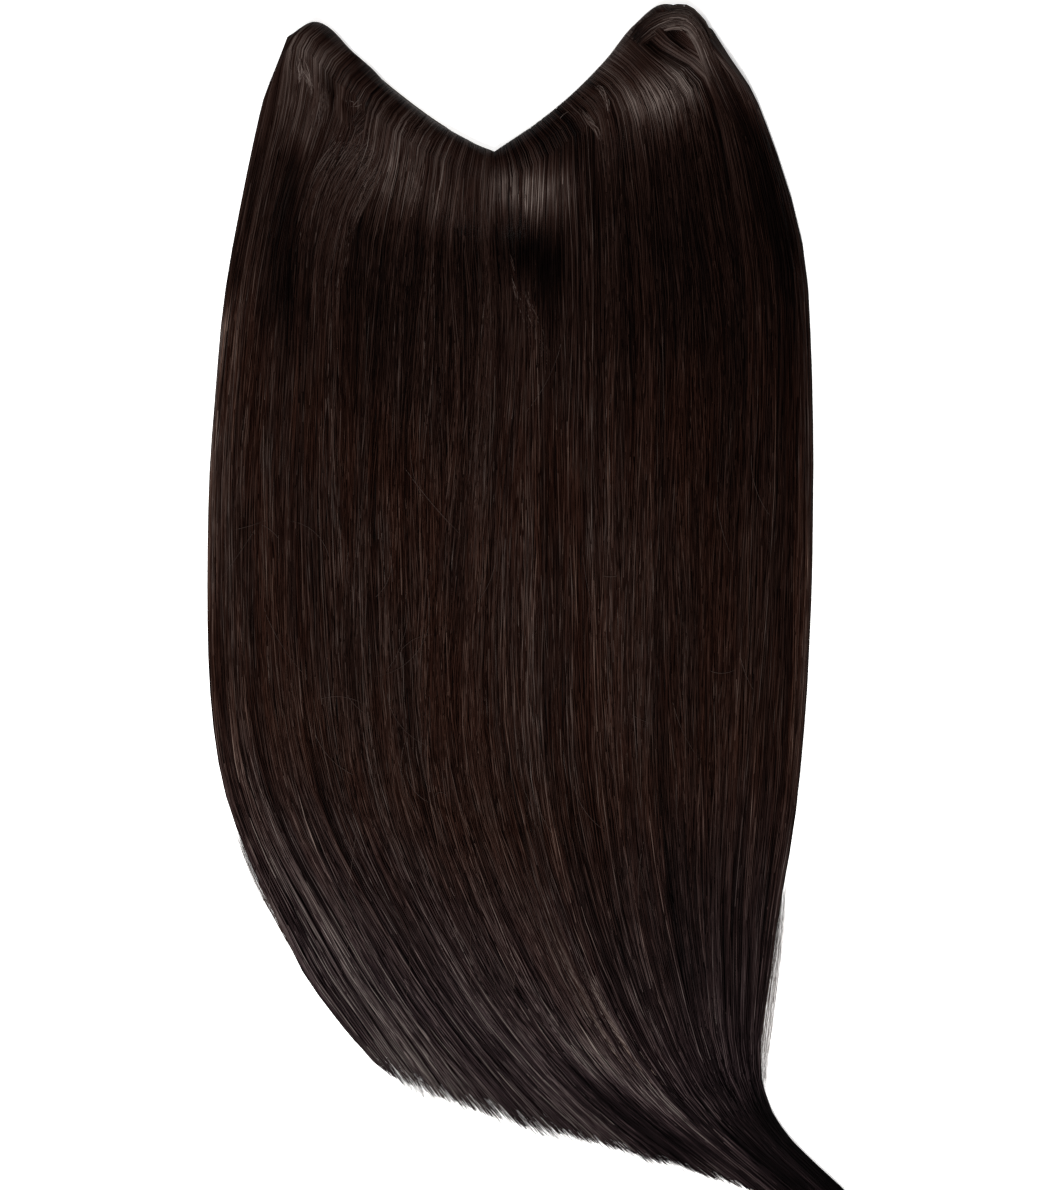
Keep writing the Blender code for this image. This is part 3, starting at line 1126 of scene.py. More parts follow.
    def apply(self, name: str, source: bpy.types.Mesh, values: dict[str, Any]) -> bpy.types.Object:
        """Run the tree on lines of points.

        Args:
            name: The piece's name.
            source: The lines, with their numbers on the points.
            values: Values for the named inputs.

        Returns:
            The finished piece, a plain mesh.
        """
        carrier = add_object(name + "_lines", source)
        modifier = carrier.modifiers.new("sweep", "NODES")
        modifier.node_group = self.tree
        for key, value in values.items():
            modifier[self.identifiers[key]] = value
        graph = bpy.context.evaluated_depsgraph_get()
        mesh = bpy.data.meshes.new_from_object(carrier.evaluated_get(graph), depsgraph=graph)
        bpy.data.objects.remove(carrier)
        mesh.name = name
        return add_object(name, mesh)


# Hairs with different numbers below this one take different streaks
STRAND_NUMBERS = 997


@dataclass
class Lines:
    """Hairs as lines of points, with the numbers that follow them.

    The column is one for each hair. The others are one for each point: how thick and how loose the hair is
    there, its share of the way to the tips, and its painted light and shade in stops.
    """

    points: np.ndarray
    thick: np.ndarray
    loose: np.ndarray
    column: np.ndarray
    along: np.ndarray
    light: np.ndarray

    def mesh(self, name: str) -> bpy.types.Mesh:
        """Return the lines as a mesh.

        Args:
            name: The piece's name.

        Returns:
            A mesh of edges with named numbers on its points.
        """
        count, steps = self.points.shape[:2]
        index = np.arange(count * steps).reshape(count, steps)
        edges = np.stack([index[:, :-1].ravel(), index[:, 1:].ravel()], axis=-1)
        mesh = bpy.data.meshes.new(name + "_lines")
        mesh.vertices.add(count * steps)
        mesh.vertices.foreach_set("co", self.points.ravel())
        mesh.edges.add(len(edges))
        mesh.edges.foreach_set("vertices", edges.ravel())
        values = {
            "thick": self.thick,
            "loose": self.loose,
            "column": self.column[:, None],
            "along": self.along,
            "light": np.clip(0.5 + self.light / STOP_RANGE, 0, 1),
            "strand": (np.arange(count) % STRAND_NUMBERS)[:, None],
        }
        for key, numbers in values.items():
            layer = mesh.attributes.new(key, "FLOAT", "POINT")
            spread = np.broadcast_to(numbers, (count, steps)).astype(np.float32)
            layer.data.foreach_set("value", spread.ravel())
        return mesh


@dataclass
class HairMaker:
    """What every piece of single hairs shares: the sheet it lies on, its Geometry Nodes and its finish."""

    sheet: FlowSheet
    sweep: SweepTree
    finish: HairFinish = HairFinish()
    radius: float = 0.00027
    frizz: float = 0.0006
    frizz_scale: float = 45.0

    def make(self, name: str, slot: str, lines: Lines, seed: int) -> None:
        """Make a piece of hairs and put it in the weft.

        Args:
            name: The piece's name.
            slot: Passed on to settle, which doesn't use it.
            lines: The hairs.
            seed: The seed of their frizz.
        """
        values = {
            "Radius": self.radius, "Frizz": self.frizz, "Frizz scale": self.frizz_scale, "Seed": seed,
            "Columns": self.finish.columns, "Finish": self.finish.material(),
        }
        settle(self.sweep.apply(name, lines.mesh(name), values), slot)


class Layer(Enum):
    """Which hairs of a panel a batch holds."""

    WHOLE = "strands"
    UPPER = "upper_strands"
    LOWER = "lower_strands"


class Batch(NamedTuple):
    """Some of a panel's hairs: the layer, how many, and how deep they lie."""

    layer: Layer
    count: int
    shallow: float
    deep: float


class Crest(NamedTuple):
    """How a lock's middle stands out: its height, its light in stops, and where that light turns to shade."""

    height: float
    # The painted highlight of the lock's middle, in stops, which turns to painted shade on its sides past
    # turn
    stops: float
    turn: float


class Locks:
    """The locks between two guides: where they lie, how far they stop short, and how light they are."""

    # How uneven the spacing is in pitches, how far the ends lie past or short, the spread of light in stops
    uneven = 0.3
    ends = (-0.009, 0.004)
    light_spread = 0.45

    def __init__(self, dice: np.random.Generator, first: float, last: float, pitch: float) -> None:
        """Space the locks unevenly.

        Args:
            dice: The source of chance.
            first: The guide on the left.
            last: The guide on the right.
            pitch: The usual width of a lock, in guides.
        """
        count = max(int(round((last - first) / pitch)), 1)
        edges = np.linspace(first, last, count + 1)
        edges[1:-1] += dice.uniform(-self.uneven, self.uneven, count - 1) * pitch
        self.edges = edges
        self.middle = (edges[:-1] + edges[1:]) / 2
        self.half = np.diff(edges) / 2
        self.stagger = dice.uniform(*self.ends, count)
        self.light = dice.normal(0, self.light_spread, count)

    def of(self, home: np.ndarray) -> np.ndarray:
        """Return the lock that each hair belongs to."""
        return np.clip(np.searchsorted(self.edges, home) - 1, 0, len(self.middle) - 1)

    def crest(self, home: np.ndarray) -> np.ndarray:
        """Return how high each hair rides in its lock, from 0 at its sides to 1 in its middle."""
        lock = self.of(home)
        return 1 - np.clip(np.abs(home - self.middle[lock]) / self.half[lock], 0, 1) ** 2


@dataclass
class HairPile:
    """The mass of hair under a panel's single hairs, in the place of the panel's solid."""

    name: str
    first: float
    last: float
    slot: str
    sheet: FlowSheet
    seed: int

    # Its finish, how far it lies under the surface, its least thickness, and the share at which it ends
    finish: PileFinish = PileFinish()
    sink: float = 0.0016
    least: float = 0.0004
    end: float = 0.974
    # Its columns to a guide, its rows over the roll and beyond, and the share of the length where those meet
    columns: int = 12
    roll_rows: int = 16
    rows: int = 64
    roll_share: float = 0.06
    # Its ragged end: how far it goes up and down, and the share from which it does
    ragged: float = 0.006
    ragged_from: float = 0.88
    # How far it stays in from the sides and from the band's edge, and how soon the latter wears off
    side_inset: float = 0.008
    edge_inset: float = 0.004
    edge_wear: float = 20.0
    # The room kept round the band, and the guides between which the band lies
    band_room: float = 0.001
    band_guides: tuple = (0.8, 10.2)

    def build(self) -> None:
        """Make the pile."""
        sheet = self.sheet
        columns = int((self.last - self.first) * self.columns) + 1
        rolled = np.linspace(0, self.roll_share, self.roll_rows)[:-1]
        shares = np.concatenate([rolled, np.linspace(self.roll_share, self.end, self.rows)])
        guide, share = np.meshgrid(np.linspace(self.first, self.last, columns), shares)
        ragged = np.random.default_rng(self.seed).uniform(-self.ragged, self.ragged, columns)
        share = share + ragged * ease((share - self.ragged_from) / (self.end - self.ragged_from))
        guide = guide + ((len(GUIDES) - 1) / 2 - guide) * self.side_inset
        place = sheet.position(guide, share)
        inset = np.clip(1 - share * self.edge_wear, 0, 1)[..., None]
        place += (sheet.position(guide, share + self.edge_inset) - place) * inset
        distance = share * sheet.strand_length(guide)
        left, right = self.band_guides
        over_band = (distance < sheet.band_width + self.band_room) & (guide > left) & (guide < right)
        bottom = np.where(over_band, sheet.band_top, 0.0)
        top = np.maximum(sheet.height(guide, share) - self.sink, bottom + self.least)
        tops, bottoms = (np.concatenate([place, high[..., None]], axis=-1) for high in (top, bottom))
        mesh = closed_grid(f"{self.name}_pile", tops, bottoms)
        mesh.materials.append(self.finish.material())
        mesh.shade_smooth()
        settle(add_object(f"{self.name}_pile", mesh), self.slot, self.name)


@dataclass
class HairPanel:
    """A panel of the weft's hair between two guides: a dark pile and many single hairs over it."""

    name: str
    first: float
    last: float
    slot: str
    batches: tuple
    maker: HairMaker
    seed: int
    onward_steps: int = 20

    # Places along a hair: distances over the roll, then a number of even steps, closer towards the tip
    roll_distances: tuple = (0.0035, 0.009, 0.016, 0.024, 0.033, 0.043, 0.055, 0.070)
    closer: float = 1.15
    # The turn round the band's edge: how far in, and how high as a share of the rolled edge's height
    turn: tuple = ((0.0030, 0.36), (0.0000, 0.60), (0.0004, 1.05))
    # How far the hair reaches over the band's edge, and the guides between which it leaves the edge in sight
    cover: float = 0.0014
    bare_guides: tuple = (2.4, 4.6)
    bare_fade: float = 0.5

    # Locks at the roots, at the tips and in broad bands: their pitch and how their middles stand out, in
    # height and in painted light
    root_pitch: float = 0.11
    tip_pitch: float = 0.32
    band_pitch: float = 0.45
    root_crest: Crest = Crest(0.0011, 1.1, 0.6)
    tip_crest: Crest = Crest(0.0019, 3.5, 0.74)
    band_crest: Crest = Crest(0.0, 0.7, 0.66)
    band_stops: float = 0.8
    # Where the tips' locks set in, and where the painted light of the roots' locks wears off: start and reach
    low_part: tuple = (0.50, 0.35)
    top_part: tuple = (0.05, 0.08)
    # How unevenly hairs lie in depth, and how far they stop short
    depth_power: float = 1.3
    shorter: float = 0.011
    # Waves up and down: their length and height
    wave_lengths: tuple = (0.05, 0.12)
    wave_height: float = 0.00035
    # How far hairs sink in at rest, and the least height over the band and the floor
    rest: float = 0.0004
    clearance: float = 0.0003
    # How soon crests and waves rise from the root
    crest_rise: float = 8.0
    wave_rise: float = 6.0

    # Painted light of single hairs in stops: glints at random, stronger where the painted light is bright and
    # at the tips, and painted shade by the depth
    glint_lit: float = 0.32
    glint_most: float = 2.0
    glint_low: float = 0.85
    depth_stops: float = 350.0
    # Levels of brown: the middle, the spread, and the step and share of pale hairs
    level: float = 3.5
    level_spread: float = 1.8
    pale_step: float = 2.5
    pale_share: float = 0.04
    # Thickness: the range, the loss at the tip, and where that sets in: start and reach
    thickness: tuple = (0.75, 1.25)
    tip_loss: float = 0.62
    tip_part: tuple = (0.93, 0.07)
    loose_from: float = 0.10

    # Gathering into locks: how much at the root, how much more at the tips, and where that sets in
    gather: tuple = (0.10, 0.18)
    gather_part: tuple = (0.6, 0.4)
    # Swaying together: for each sway its size in guides, its waves across so many guides and its waves along
    sways: tuple = ((0.050, 0.9, 0.8), (0.030, 2.3, 1.4), (0.014, 5.1, 2.2))
    sway_guides: float = 3.0
    # Swaying alone: the size, and the range of waves along
    own_sway: float = 0.055
    own_waves: tuple = (1.5, 3.5)
    # Slanting, and straying for some: the size, the share of the way where it is nought, the share of hairs
    slant: float = 0.10
    slant_from: float = 0.25
    stray: float = 0.16
    stray_from: float = 0.4
    stray_share: float = 0.06
    # How much hairs stray at the weft's sides, and the guides over which that wears off
    side_calm: float = 0.25
    side_reach: float = 0.5
    far_rise: float = 5.0

    def build(self) -> None:
        """Make the pile and the hairs."""
        HairPile(self.name, self.first, self.last, self.slot, self.maker.sheet, self.seed).build()
        for number, batch in enumerate(self.batches):
            name = f"{self.name}_{batch.layer.value}"
            dice = np.random.default_rng(self.seed + number)
            self.maker.make(name, self.slot, self.grow(dice, batch), self.seed + number)

    def grow(self, dice: np.random.Generator, batch: Batch) -> Lines:
        """Grow a batch of hairs.

        Args:
            dice: The source of chance.
            batch: The batch.

        Returns:
            The hairs from root to tip.
        """
        sheet = self.maker.sheet
        count = batch.count
        home = self.homes(dice, count)
        depth = batch.shallow + (batch.deep - batch.shallow) * dice.uniform(0, 1, count) ** self.depth_power
        roots = Locks(dice, self.first, self.last, self.root_pitch)
        tips = Locks(dice, self.first, self.last, self.tip_pitch)
        bands = Locks(dice, self.first, self.last, self.band_pitch)
        ending = 1.0 - tips.stagger[tips.of(home)] - dice.exponential(self.shorter, count)
        share = self.stations(home, ending)
        start, reach = self.low_part
        low = ease((share - start) / reach)
        guide = home[:, None] + self.drift(dice, tips, home, share)
        place = sheet.parted(sheet.position(guide, share))
        run = share * sheet.strand_length(home)[:, None]
        waves = run / dice.uniform(*self.wave_lengths, (count, 1)) + dice.uniform(0, 1, (count, 1))
        wave = np.sin(2 * math.pi * waves) * self.wave_height
        crest = tips.crest(home)[:, None] * self.tip_crest.height * low
        crest = crest + roots.crest(home)[:, None] * self.root_crest.height * (1 - low)
        rise = crest * ease(share * self.crest_rise) + wave * ease(share * self.wave_rise)
        # The sheet's painted light and shade, glints at random, painted shade by depth and the locks' painted
        # light
        shade = sheet.light(guide, share)
        glints = self.glint_lit * np.clip(shade, 0, self.glint_most) + self.glint_low * low
        light = shade + dice.normal(0, 1, (count, 1)) * glints - depth[:, None] * self.depth_stops
        light = light + self.lock_light(home, run, low, roots, tips, bands)
        spread = dice.normal(0, self.level_spread, count)
        level = self.level + spread + self.pale_step * (dice.uniform(0, 1, count) < self.pale_share)
        z = self.heights(home, guide, share, depth, rise)
        way = np.linspace(0, 1, share.shape[1])[None]
        start, reach = self.tip_part
        thin = 1 - self.tip_loss * ease((way - start) / reach)
        return Lines(
            points=np.concatenate([place, z[..., None]], axis=-1),
            thick=thin * dice.uniform(*self.thickness, (count, 1)),
            loose=ease((way - self.loose_from) * 2) * np.ones((count, 1)),
            column=self.maker.finish.column((home - self.first) / (self.last - self.first), level),
            along=np.clip(share, 0, 1),
            light=light,
        )

    def heights(
        self, home: np.ndarray, guide: np.ndarray, share: np.ndarray, depth: np.ndarray, rise: np.ndarray
    ) -> np.ndarray:
        """Lay the hairs at their heights.

        Args:
            home: The hairs' guide numbers.
            guide: The guide number at each point of each hair.
            share: The share of the way at each point.
            depth: How deep each hair lies.
            rise: How far each point rises over that.

        Returns:
            The height of each point: on the sheet, but round the band's edge at the root.
        """
        sheet = self.maker.sheet
        z = sheet.height(guide, share) - depth[:, None] + rise
        edge = sheet.height(home, np.zeros_like(home))
        for number, (_, high) in enumerate(self.turn):
            z[:, number] = np.maximum((edge - depth) * high, sheet.band_top + self.clearance)
        return np.maximum(z - self.rest, self.clearance)

    def lock_light(
        self, home: np.ndarray, run: np.ndarray, low: np.ndarray, roots: Locks, tips: Locks, bands: Locks
    ) -> np.ndarray:
        """Return the painted light and shade that the locks bring.

        Args:
            home: The hairs' guide numbers.
            run: The distance from the root at each point of each hair.
            low: How far each point belongs to the tips, from 0 to 1.
            roots: The locks at the roots.
            tips: The locks at the tips.
            bands: The broad bands.

        Returns:
            The light in stops: painted highlights in the middles of locks and painted shade at their sides,
                and some locks lighter than others.
        """
        start, reach = self.top_part
        root_stops = self.root_crest.stops * (roots.crest(home) - self.root_crest.turn)
        root_stops = root_stops[:, None] * (1 - ease((run - start) / reach))
        tip_stops = self.tip_crest.stops * (tips.crest(home) - self.tip_crest.turn)
        tip_stops = (tip_stops + tips.light[tips.of(home)])[:, None] * low
        band_stops = self.band_crest.stops * (bands.crest(home) - self.band_crest.turn)
        band_stops = (band_stops + self.band_stops * bands.light[bands.of(home)])[:, None] * (1 - low)
        return root_stops + tip_stops + band_stops

    def homes(self, dice: np.random.Generator, count: int) -> np.ndarray:
        """Spread hairs evenly over the middle of the body.

        Args:
            dice: The source of chance.
            count: The number of hairs.

        Returns:
            Their guide numbers.
        """
        numbers = np.arange(len(GUIDES))
        across = np.array([guide.middle for guide in GUIDES])
        ends = np.interp([self.first, self.last], numbers, across)
        return np.interp(dice.uniform(*ends, count), across, numbers)

    def stations(self, home: np.ndarray, ending: np.ndarray) -> np.ndarray:
        """Place the points along each hair.

        Args:
            home: The hairs' guide numbers.
            ending: The shares of the way at which they end.

        Returns:
            The share of the way at each point of each hair.
        """
        length = self.maker.sheet.strand_length(home)[:, None]
        left, right = self.bare_guides
        bare = ease((home - left) / self.bare_fade) * (1 - ease((home - right) / self.bare_fade))
        cover = self.cover * (1 - bare)[:, None]
        turn = (np.array([inward for inward, _ in self.turn])[None] - cover) / length
        rolled = np.array(self.roll_distances)[None] / length
        steps = 1 - (1 - np.arange(1, self.onward_steps + 1) / self.onward_steps) ** self.closer
        onward = rolled[:, -1:] + (ending[:, None] - rolled[:, -1:]) * steps[None]
        return np.concatenate([turn, rolled, onward], axis=1)

    def drift(
        self, dice: np.random.Generator, locks: Locks, home: np.ndarray, share: np.ndarray
    ) -> np.ndarray:
        """Let each hair stray sideways.

        Args:
            dice: The source of chance.
            locks: The locks at the tips.
            home: The hairs' guide numbers.
            share: The share of the way at each point of each hair.

        Returns:
            How far each point strays, in guides.
        """
        count = len(home)
        least, more = self.gather
        start, reach = self.gather_part
        gathering = least + more * ease((share - start) / reach)
        gathered = (locks.middle[locks.of(home)] - home)[:, None] * gathering
        together = 0.0
        for size, across, along in self.sways:
            phase = dice.uniform(0, 2 * math.pi)
            waves = across * home[:, None] / self.sway_guides + along * share
            together = together + size * np.sin(2 * math.pi * waves + phase)
        turns = dice.uniform(*self.own_waves, (count, 1))
        alone = self.own_sway * np.sin(2 * math.pi * (turns * share + dice.uniform(0, 1, (count, 1))))
        slant = dice.normal(0, self.slant, (count, 1)) * (share - self.slant_from)
        stray = dice.normal(0, self.stray, (count, 1)) * (dice.uniform(0, 1, (count, 1)) < self.stray_share)
        edge = np.minimum(home, len(GUIDES) - 1 - home)[:, None]
        calm = self.side_calm + (1 - self.side_calm) * ease(edge / self.side_reach)
        near = (gathered + together + alone) * ease(share * self.crest_rise)
        far = (slant + stray * (share - self.stray_from)) * ease(share * self.far_rise)
        return (near + far) * calm


@dataclass(frozen=True)
class Tress:
    """A small lock that lies over the rest, between two ways given in shares, from its start to its tip."""

    inner: tuple
    outer: tuple
    count: int
    lift: float
    # Painted light and shade along its way, in stops
    lights: tuple
    level: float = 4.0
    thick: float = 1.0
    stray: float = 0.0006


# Each lock's lights are painted highlights and shade along its way, in stops
TRESSES = {
    "right_peak_loop": Tress(
        ((0.203, 0.042), (0.234, 0.028), (0.262, 0.022), (0.288, 0.023), (0.305, 0.034), (0.320, 0.052),
         (0.345, 0.080), (0.380, 0.122), (0.405, 0.168)),
        ((0.186, 0.033), (0.214, 0.015), (0.250, 0.004), (0.290, 0.001), (0.318, 0.011), (0.338, 0.033),
         (0.360, 0.059), (0.398, 0.099), (0.425, 0.147)),
        240, 0.0032, (-2.4, 0.0, 1.8, 2.4, 2.2, 1.2, -0.3, -1.8, -3.0), 4.0, 0.8,
    ),
    "left_peak_curl": Tress(
        ((-0.350, 0.045), (-0.346, 0.055), (-0.338, 0.063), (-0.332, 0.074), (-0.330, 0.090)),
        ((-0.340, 0.043), (-0.335, 0.053), (-0.327, 0.062), (-0.321, 0.073), (-0.316, 0.092)),
        26, 0.0010, (0.2, 1.8, 2.6, 1.4, 0.0), 4.5, 0.6, 0.0009,
    ),
    "left_peak_small_curl": Tress(
        ((-0.348, 0.047), (-0.351, 0.053), (-0.348, 0.060), (-0.353, 0.067)),
        ((-0.343, 0.045), (-0.341, 0.053), (-0.341, 0.060), (-0.346, 0.068)),
        14, 0.0012, (1.0, 1.8, 1.2), 5.0,
    ),
    "left_wing_front": Tress(
        ((-0.321, 0.053), (-0.320, 0.074), (-0.325, 0.095), (-0.338, 0.120)),
        ((-0.298, 0.065), (-0.298, 0.085), (-0.305, 0.105), (-0.318, 0.128)),
        60, 0.0006, (0.4, 1.1, 0.8, -0.6), 3.8, 0.8,
    ),
    "left_panel_fall": Tress(
        ((-0.228, 0.078), (-0.262, 0.098), (-0.298, 0.119), (-0.328, 0.145), (-0.345, 0.180), (-0.353, 0.230),
         (-0.358, 0.300)),
        ((-0.130, 0.106), (-0.175, 0.122), (-0.222, 0.149), (-0.258, 0.189), (-0.282, 0.240), (-0.296, 0.300),
         (-0.304, 0.360)),
        340, 0.0008, (-0.9, 0.0, 0.5, 0.2, -0.2, -0.4, -0.7), 3.5, 0.85, 0.0016,
    ),
    "right_split_curl": Tress(
        ((0.136, 0.068), (0.146, 0.073), (0.154, 0.082), (0.159, 0.092)),
        ((0.146, 0.068), (0.156, 0.074), (0.162, 0.083), (0.166, 0.093)),
        18, 0.0014, (0.8, 2.0, 1.4, 0.4), 4.6,
    ),
    "right_split_low_curl": Tress(
        ((0.113, 0.088), (0.126, 0.097), (0.139, 0.105), (0.149, 0.118)),
        ((0.122, 0.088), (0.136, 0.097), (0.147, 0.105), (0.156, 0.118)),
        18, 0.0012, (0.4, 1.4, 1.2, 0.2), 4.2,
    ),
    "centre_streak": Tress(
        ((-0.008, 0.207), (0.007, 0.237), (0.033, 0.274), (0.060, 0.320)),
        ((0.010, 0.203), (0.026, 0.237), (0.056, 0.274), (0.083, 0.320)),
        36, 0.0006, (-0.2, 0.9, 1.1, 0.3), 3.8, 0.8, 0.0016,
    ),
    "lower_lock": Tress(
        ((-0.017, 0.662), (0.010, 0.720), (0.050, 0.787), (0.109, 0.841), (0.185, 0.883), (0.268, 0.922),
         (0.341, 0.953)),
        ((0.033, 0.662), (0.063, 0.720), (0.106, 0.782), (0.169, 0.835), (0.242, 0.875), (0.321, 0.915),
         (0.387, 0.950)),
        260, 0.0014, (0.0, 0.4, 1.1, 2.1, 3.3, 2.3, -0.3), 4.0, 0.8,
    ),
    "right_fringe": Tress(
        ((0.444, 0.720), (0.436, 0.770), (0.421, 0.812), (0.410, 0.853), (0.408, 0.880), (0.416, 0.905)),
        ((0.460, 0.720), (0.452, 0.770), (0.443, 0.812), (0.434, 0.853), (0.426, 0.882), (0.424, 0.905)),
        110, 0.0008, (0.4, 2.6, 3.4, 2.0), 4.0, 0.17, 0.0006,
    ),
    "left_fringe": Tress(
        ((-0.458, 0.687), (-0.428, 0.724), (-0.394, 0.757), (-0.354, 0.791), (-0.311, 0.822)),
        ((-0.450, 0.687), (-0.419, 0.725), (-0.384, 0.758), (-0.345, 0.792), (-0.303, 0.820)),
        40, 0.0008, (0.3, 1.3, 1.3, 0.3), 4.5, 0.30,
    ),
}


class Flyaway(NamedTuple):
    """A hair astray: its start in shares, heading and bend in degrees, length, and light in stops."""

    across: float
    down: float
    heading: float
    length: float
    bend: float
    light: float = 0.9


FLYAWAYS = [
    Flyaway(-0.272, 0.0815, 15, 0.006, -60, 3.2),
    Flyaway(-0.266, 0.0850, -20, 0.007, 50, 3.4),
    Flyaway(-0.262, 0.0860, 30, 0.005, 20, 2.8),
    Flyaway(0.082, 0.0960, 55, 0.006, -30, 2.2),
    Flyaway(-0.460, 0.437, 10, 0.018, 12),
    Flyaway(-0.411, 0.432, -25, 0.012, -30),
    Flyaway(-0.298, 0.462, 100, 0.030, 70),
    Flyaway(-0.262, 0.449, 250, 0.024, 40),
    Flyaway(-0.318, 0.578, 20, 0.024, -50),
    Flyaway(-0.273, 0.570, -60, 0.020, 30),
    Flyaway(-0.229, 0.495, 35, 0.030, 75),
    Flyaway(-0.185, 0.541, 60, 0.022, -60),
    Flyaway(0.149, 0.474, -20, 0.010, 40),
    Flyaway(0.195, 0.588, -35, 0.014, 20),
    Flyaway(0.324, 0.552, -30, 0.016, 60),
    Flyaway(-0.103, 0.660, 100, 0.014, 220),
    Flyaway(0.050, 0.845, -40, 0.007, 10),
    Flyaway(0.315, 0.816, -35, 0.020, -25),
]


@dataclass
class LooseHair:
    """The hair that lies over the panels: small locks, hairs astray, and wisps at the tips."""

    maker: HairMaker
    seed: int = 71
    # Small locks: points to a hair, steps between two given points, and where hairs start and end
    tress_steps: int = 17
    tress_fine: int = 12
    tress_starts: tuple = (0.0, 0.10)
    tress_ends: tuple = (0.88, 1.0)
    # How often a hair strays in its lock, and how many points of the ground are averaged on each side
    tress_waves: tuple = (0.4, 1.2)
    ground_reach: int = 2
    # How blunt a lock's ends are, and the share of its lift that its sides have
    blunt: float = 0.6
    side_lift: float = 0.4
    # How far it sinks in at its ends, its least lift in its middle, and the range of its hairs' lift
    bedding: float = 0.0008
    body_lift: float = 0.0004
    lift_range: tuple = (0.4, 1.0)
    # How thick its ends are as a share, how loose it is, and the spread of its levels and its light
    end_thick: float = 0.35
    tress_loose: float = 0.5
    level_spread: float = 1.9
    light_spread: float = 0.6
    # For small locks and wisps: the range of thickness, and the least height
    thickness: tuple = (0.8, 1.2)
    least_height: float = 0.0004
    # Hairs astray at random: how many, the shares between which they start, and their range of length
    random_flyaways: int = 46
    astray_across: tuple = (-0.44, 0.40)
    astray_down: tuple = (0.25, 0.80)
    astray_length: tuple = (0.02, 0.05)
    # Their heading and bend in degrees: the middle and the spread
    astray_heading: tuple = (-88, 14)
    astray_bend: tuple = (0, 30)
    # All hairs astray: points to a hair, height at the ends and more in the middle, thickness and its loss
    astray_steps: int = 14
    astray_heights: tuple = (0.0002, 0.0012)
    astray_thick: float = 0.42
    astray_taper: float = 0.4
    astray_loose: float = 0.3
    astray_strip: float = 0.97
    astray_level: float = 6.0
    # Wisps: how many, points to a hair, and the guides and shares between which they start
    wisps: int = 1250
    wisp_steps: int = 6
    wisp_guides: tuple = (0.05, 7.5)
    wisp_starts: tuple = (0.90, 0.96)
    # Where they end and its spread, and how far they stray, more and more towards the tip
    wisp_end: float = 0.999
    wisp_end_spread: float = 0.014
    wisp_stray: float = 0.12
    wisp_curve: float = 1.5
    # Their heights as shares of the hair's, their thickness and its loss, their levels and their light
    wisp_heights: tuple = (0.2, 1.0)
    wisp_thick: float = 0.34
    wisp_taper: float = 0.5
    wisp_level: float = 4.5
    wisp_level_spread: float = 1.2
    wisp_light: float = 0.9

    def build(self) -> None:
        """Make the three pieces."""
        dice = np.random.default_rng(self.seed)
        self.maker.make("hair_tresses", "hair_panel", self.grow_tresses(dice), self.seed)
        self.maker.make("hair_flyaways", "hair_panel", self.grow_flyaways(dice), self.seed + 1)
        self.maker.make("hair_tip_wisps", "hair_panel", self.grow_wisps(dice), self.seed + 2)

    def grow_tresses(self, dice: np.random.Generator) -> Lines:
        """Return the hairs of all the small locks."""
        grown = [self.grow_tress(dice, tress, number) for number, tress in enumerate(TRESSES.values())]
        return Lines(*(np.concatenate(parts) for parts in zip(*grown)))

    def grow_tress(self, dice: np.random.Generator, tress: Tress, number: int) -> tuple:
        """Grow one small lock.

        Args:
            dice: The source of chance.
            tress: The lock.
            number: Its number, which gives it a strip of its own in the map.

        Returns:
            The values of its Lines, in order.
        """
        sheet = self.maker.sheet
        steps = self.tress_steps
        across = dice.uniform(0, 1, (1, tress.count, 1))
        inner = np.array([sheet.place(*point) for point in tress.inner])[:, None]
        outer = np.array([sheet.place(*point) for point in tress.outer])[:, None]
        fine = smooth_chain(inner * (1 - across) + outer * across, self.tress_fine)
        start = dice.uniform(*self.tress_starts, tress.count)
        end = dice.uniform(*self.tress_ends, tress.count)
        way = np.linspace(0, 1, steps)
        wanted = (start[:, None] + (end - start)[:, None] * way[None]) * (len(fine) - 1)
        cell = np.clip(wanted.astype(int), 0, len(fine) - 2)
        rest = (wanted - cell)[..., None]
        hair = np.arange(tress.count)[:, None]
        place = fine[cell, hair] * (1 - rest) + fine[cell + 1, hair] * rest
        turns = dice.uniform(*self.tress_waves, (tress.count, 1, 2))
        phase = dice.uniform(0, 1, (tress.count, 1, 2))
        place = place + tress.stray * np.sin(2 * math.pi * (turns * way[None, :, None] + phase))
        reached = np.linalg.norm(np.diff(place, axis=1), axis=-1).cumsum(axis=1)
        reached = np.concatenate([np.zeros((tress.count, 1)), reached], axis=1)
        smooth = self.evened(sheet.height(*sheet.find(place)))
        body = np.sin(math.pi * way) ** self.blunt
        bulge = (1 - (2 * across[0] - 1) ** 2) * (1 - self.side_lift) + self.side_lift
        lift = tress.lift * bulge * dice.uniform(*self.lift_range, (tress.count, 1)) + self.body_lift
        high = np.maximum(smooth - self.bedding + lift * body, self.least_height)
        light = np.interp(way, np.linspace(0, 1, len(tress.lights)), tress.lights)[None]
        level = tress.level + dice.normal(0, self.level_spread, tress.count)
        strip = np.full(tress.count, (number + 0.5) / self.maker.finish.strips)
        thick = tress.thick * (self.end_thick + (1 - self.end_thick) * body)[None]
        return (
            np.concatenate([place, high[..., None]], axis=-1),
            thick * dice.uniform(*self.thickness, (tress.count, 1)),
            np.full((tress.count, steps), self.tress_loose),
            self.maker.finish.column(strip, level),
            reached / sheet.length,
            light + dice.normal(0, self.light_spread, (tress.count, 1)),
        )

    def evened(self, rows: np.ndarray) -> np.ndarray:
        """Return rows of numbers in which each is the mean of its neighbourhood."""
        mean = np.full(2 * self.ground_reach + 1, 1 / (2 * self.ground_reach + 1))
        return np.stack([np.convolve(np.pad(row, self.ground_reach, "edge"), mean, "valid") for row in rows])

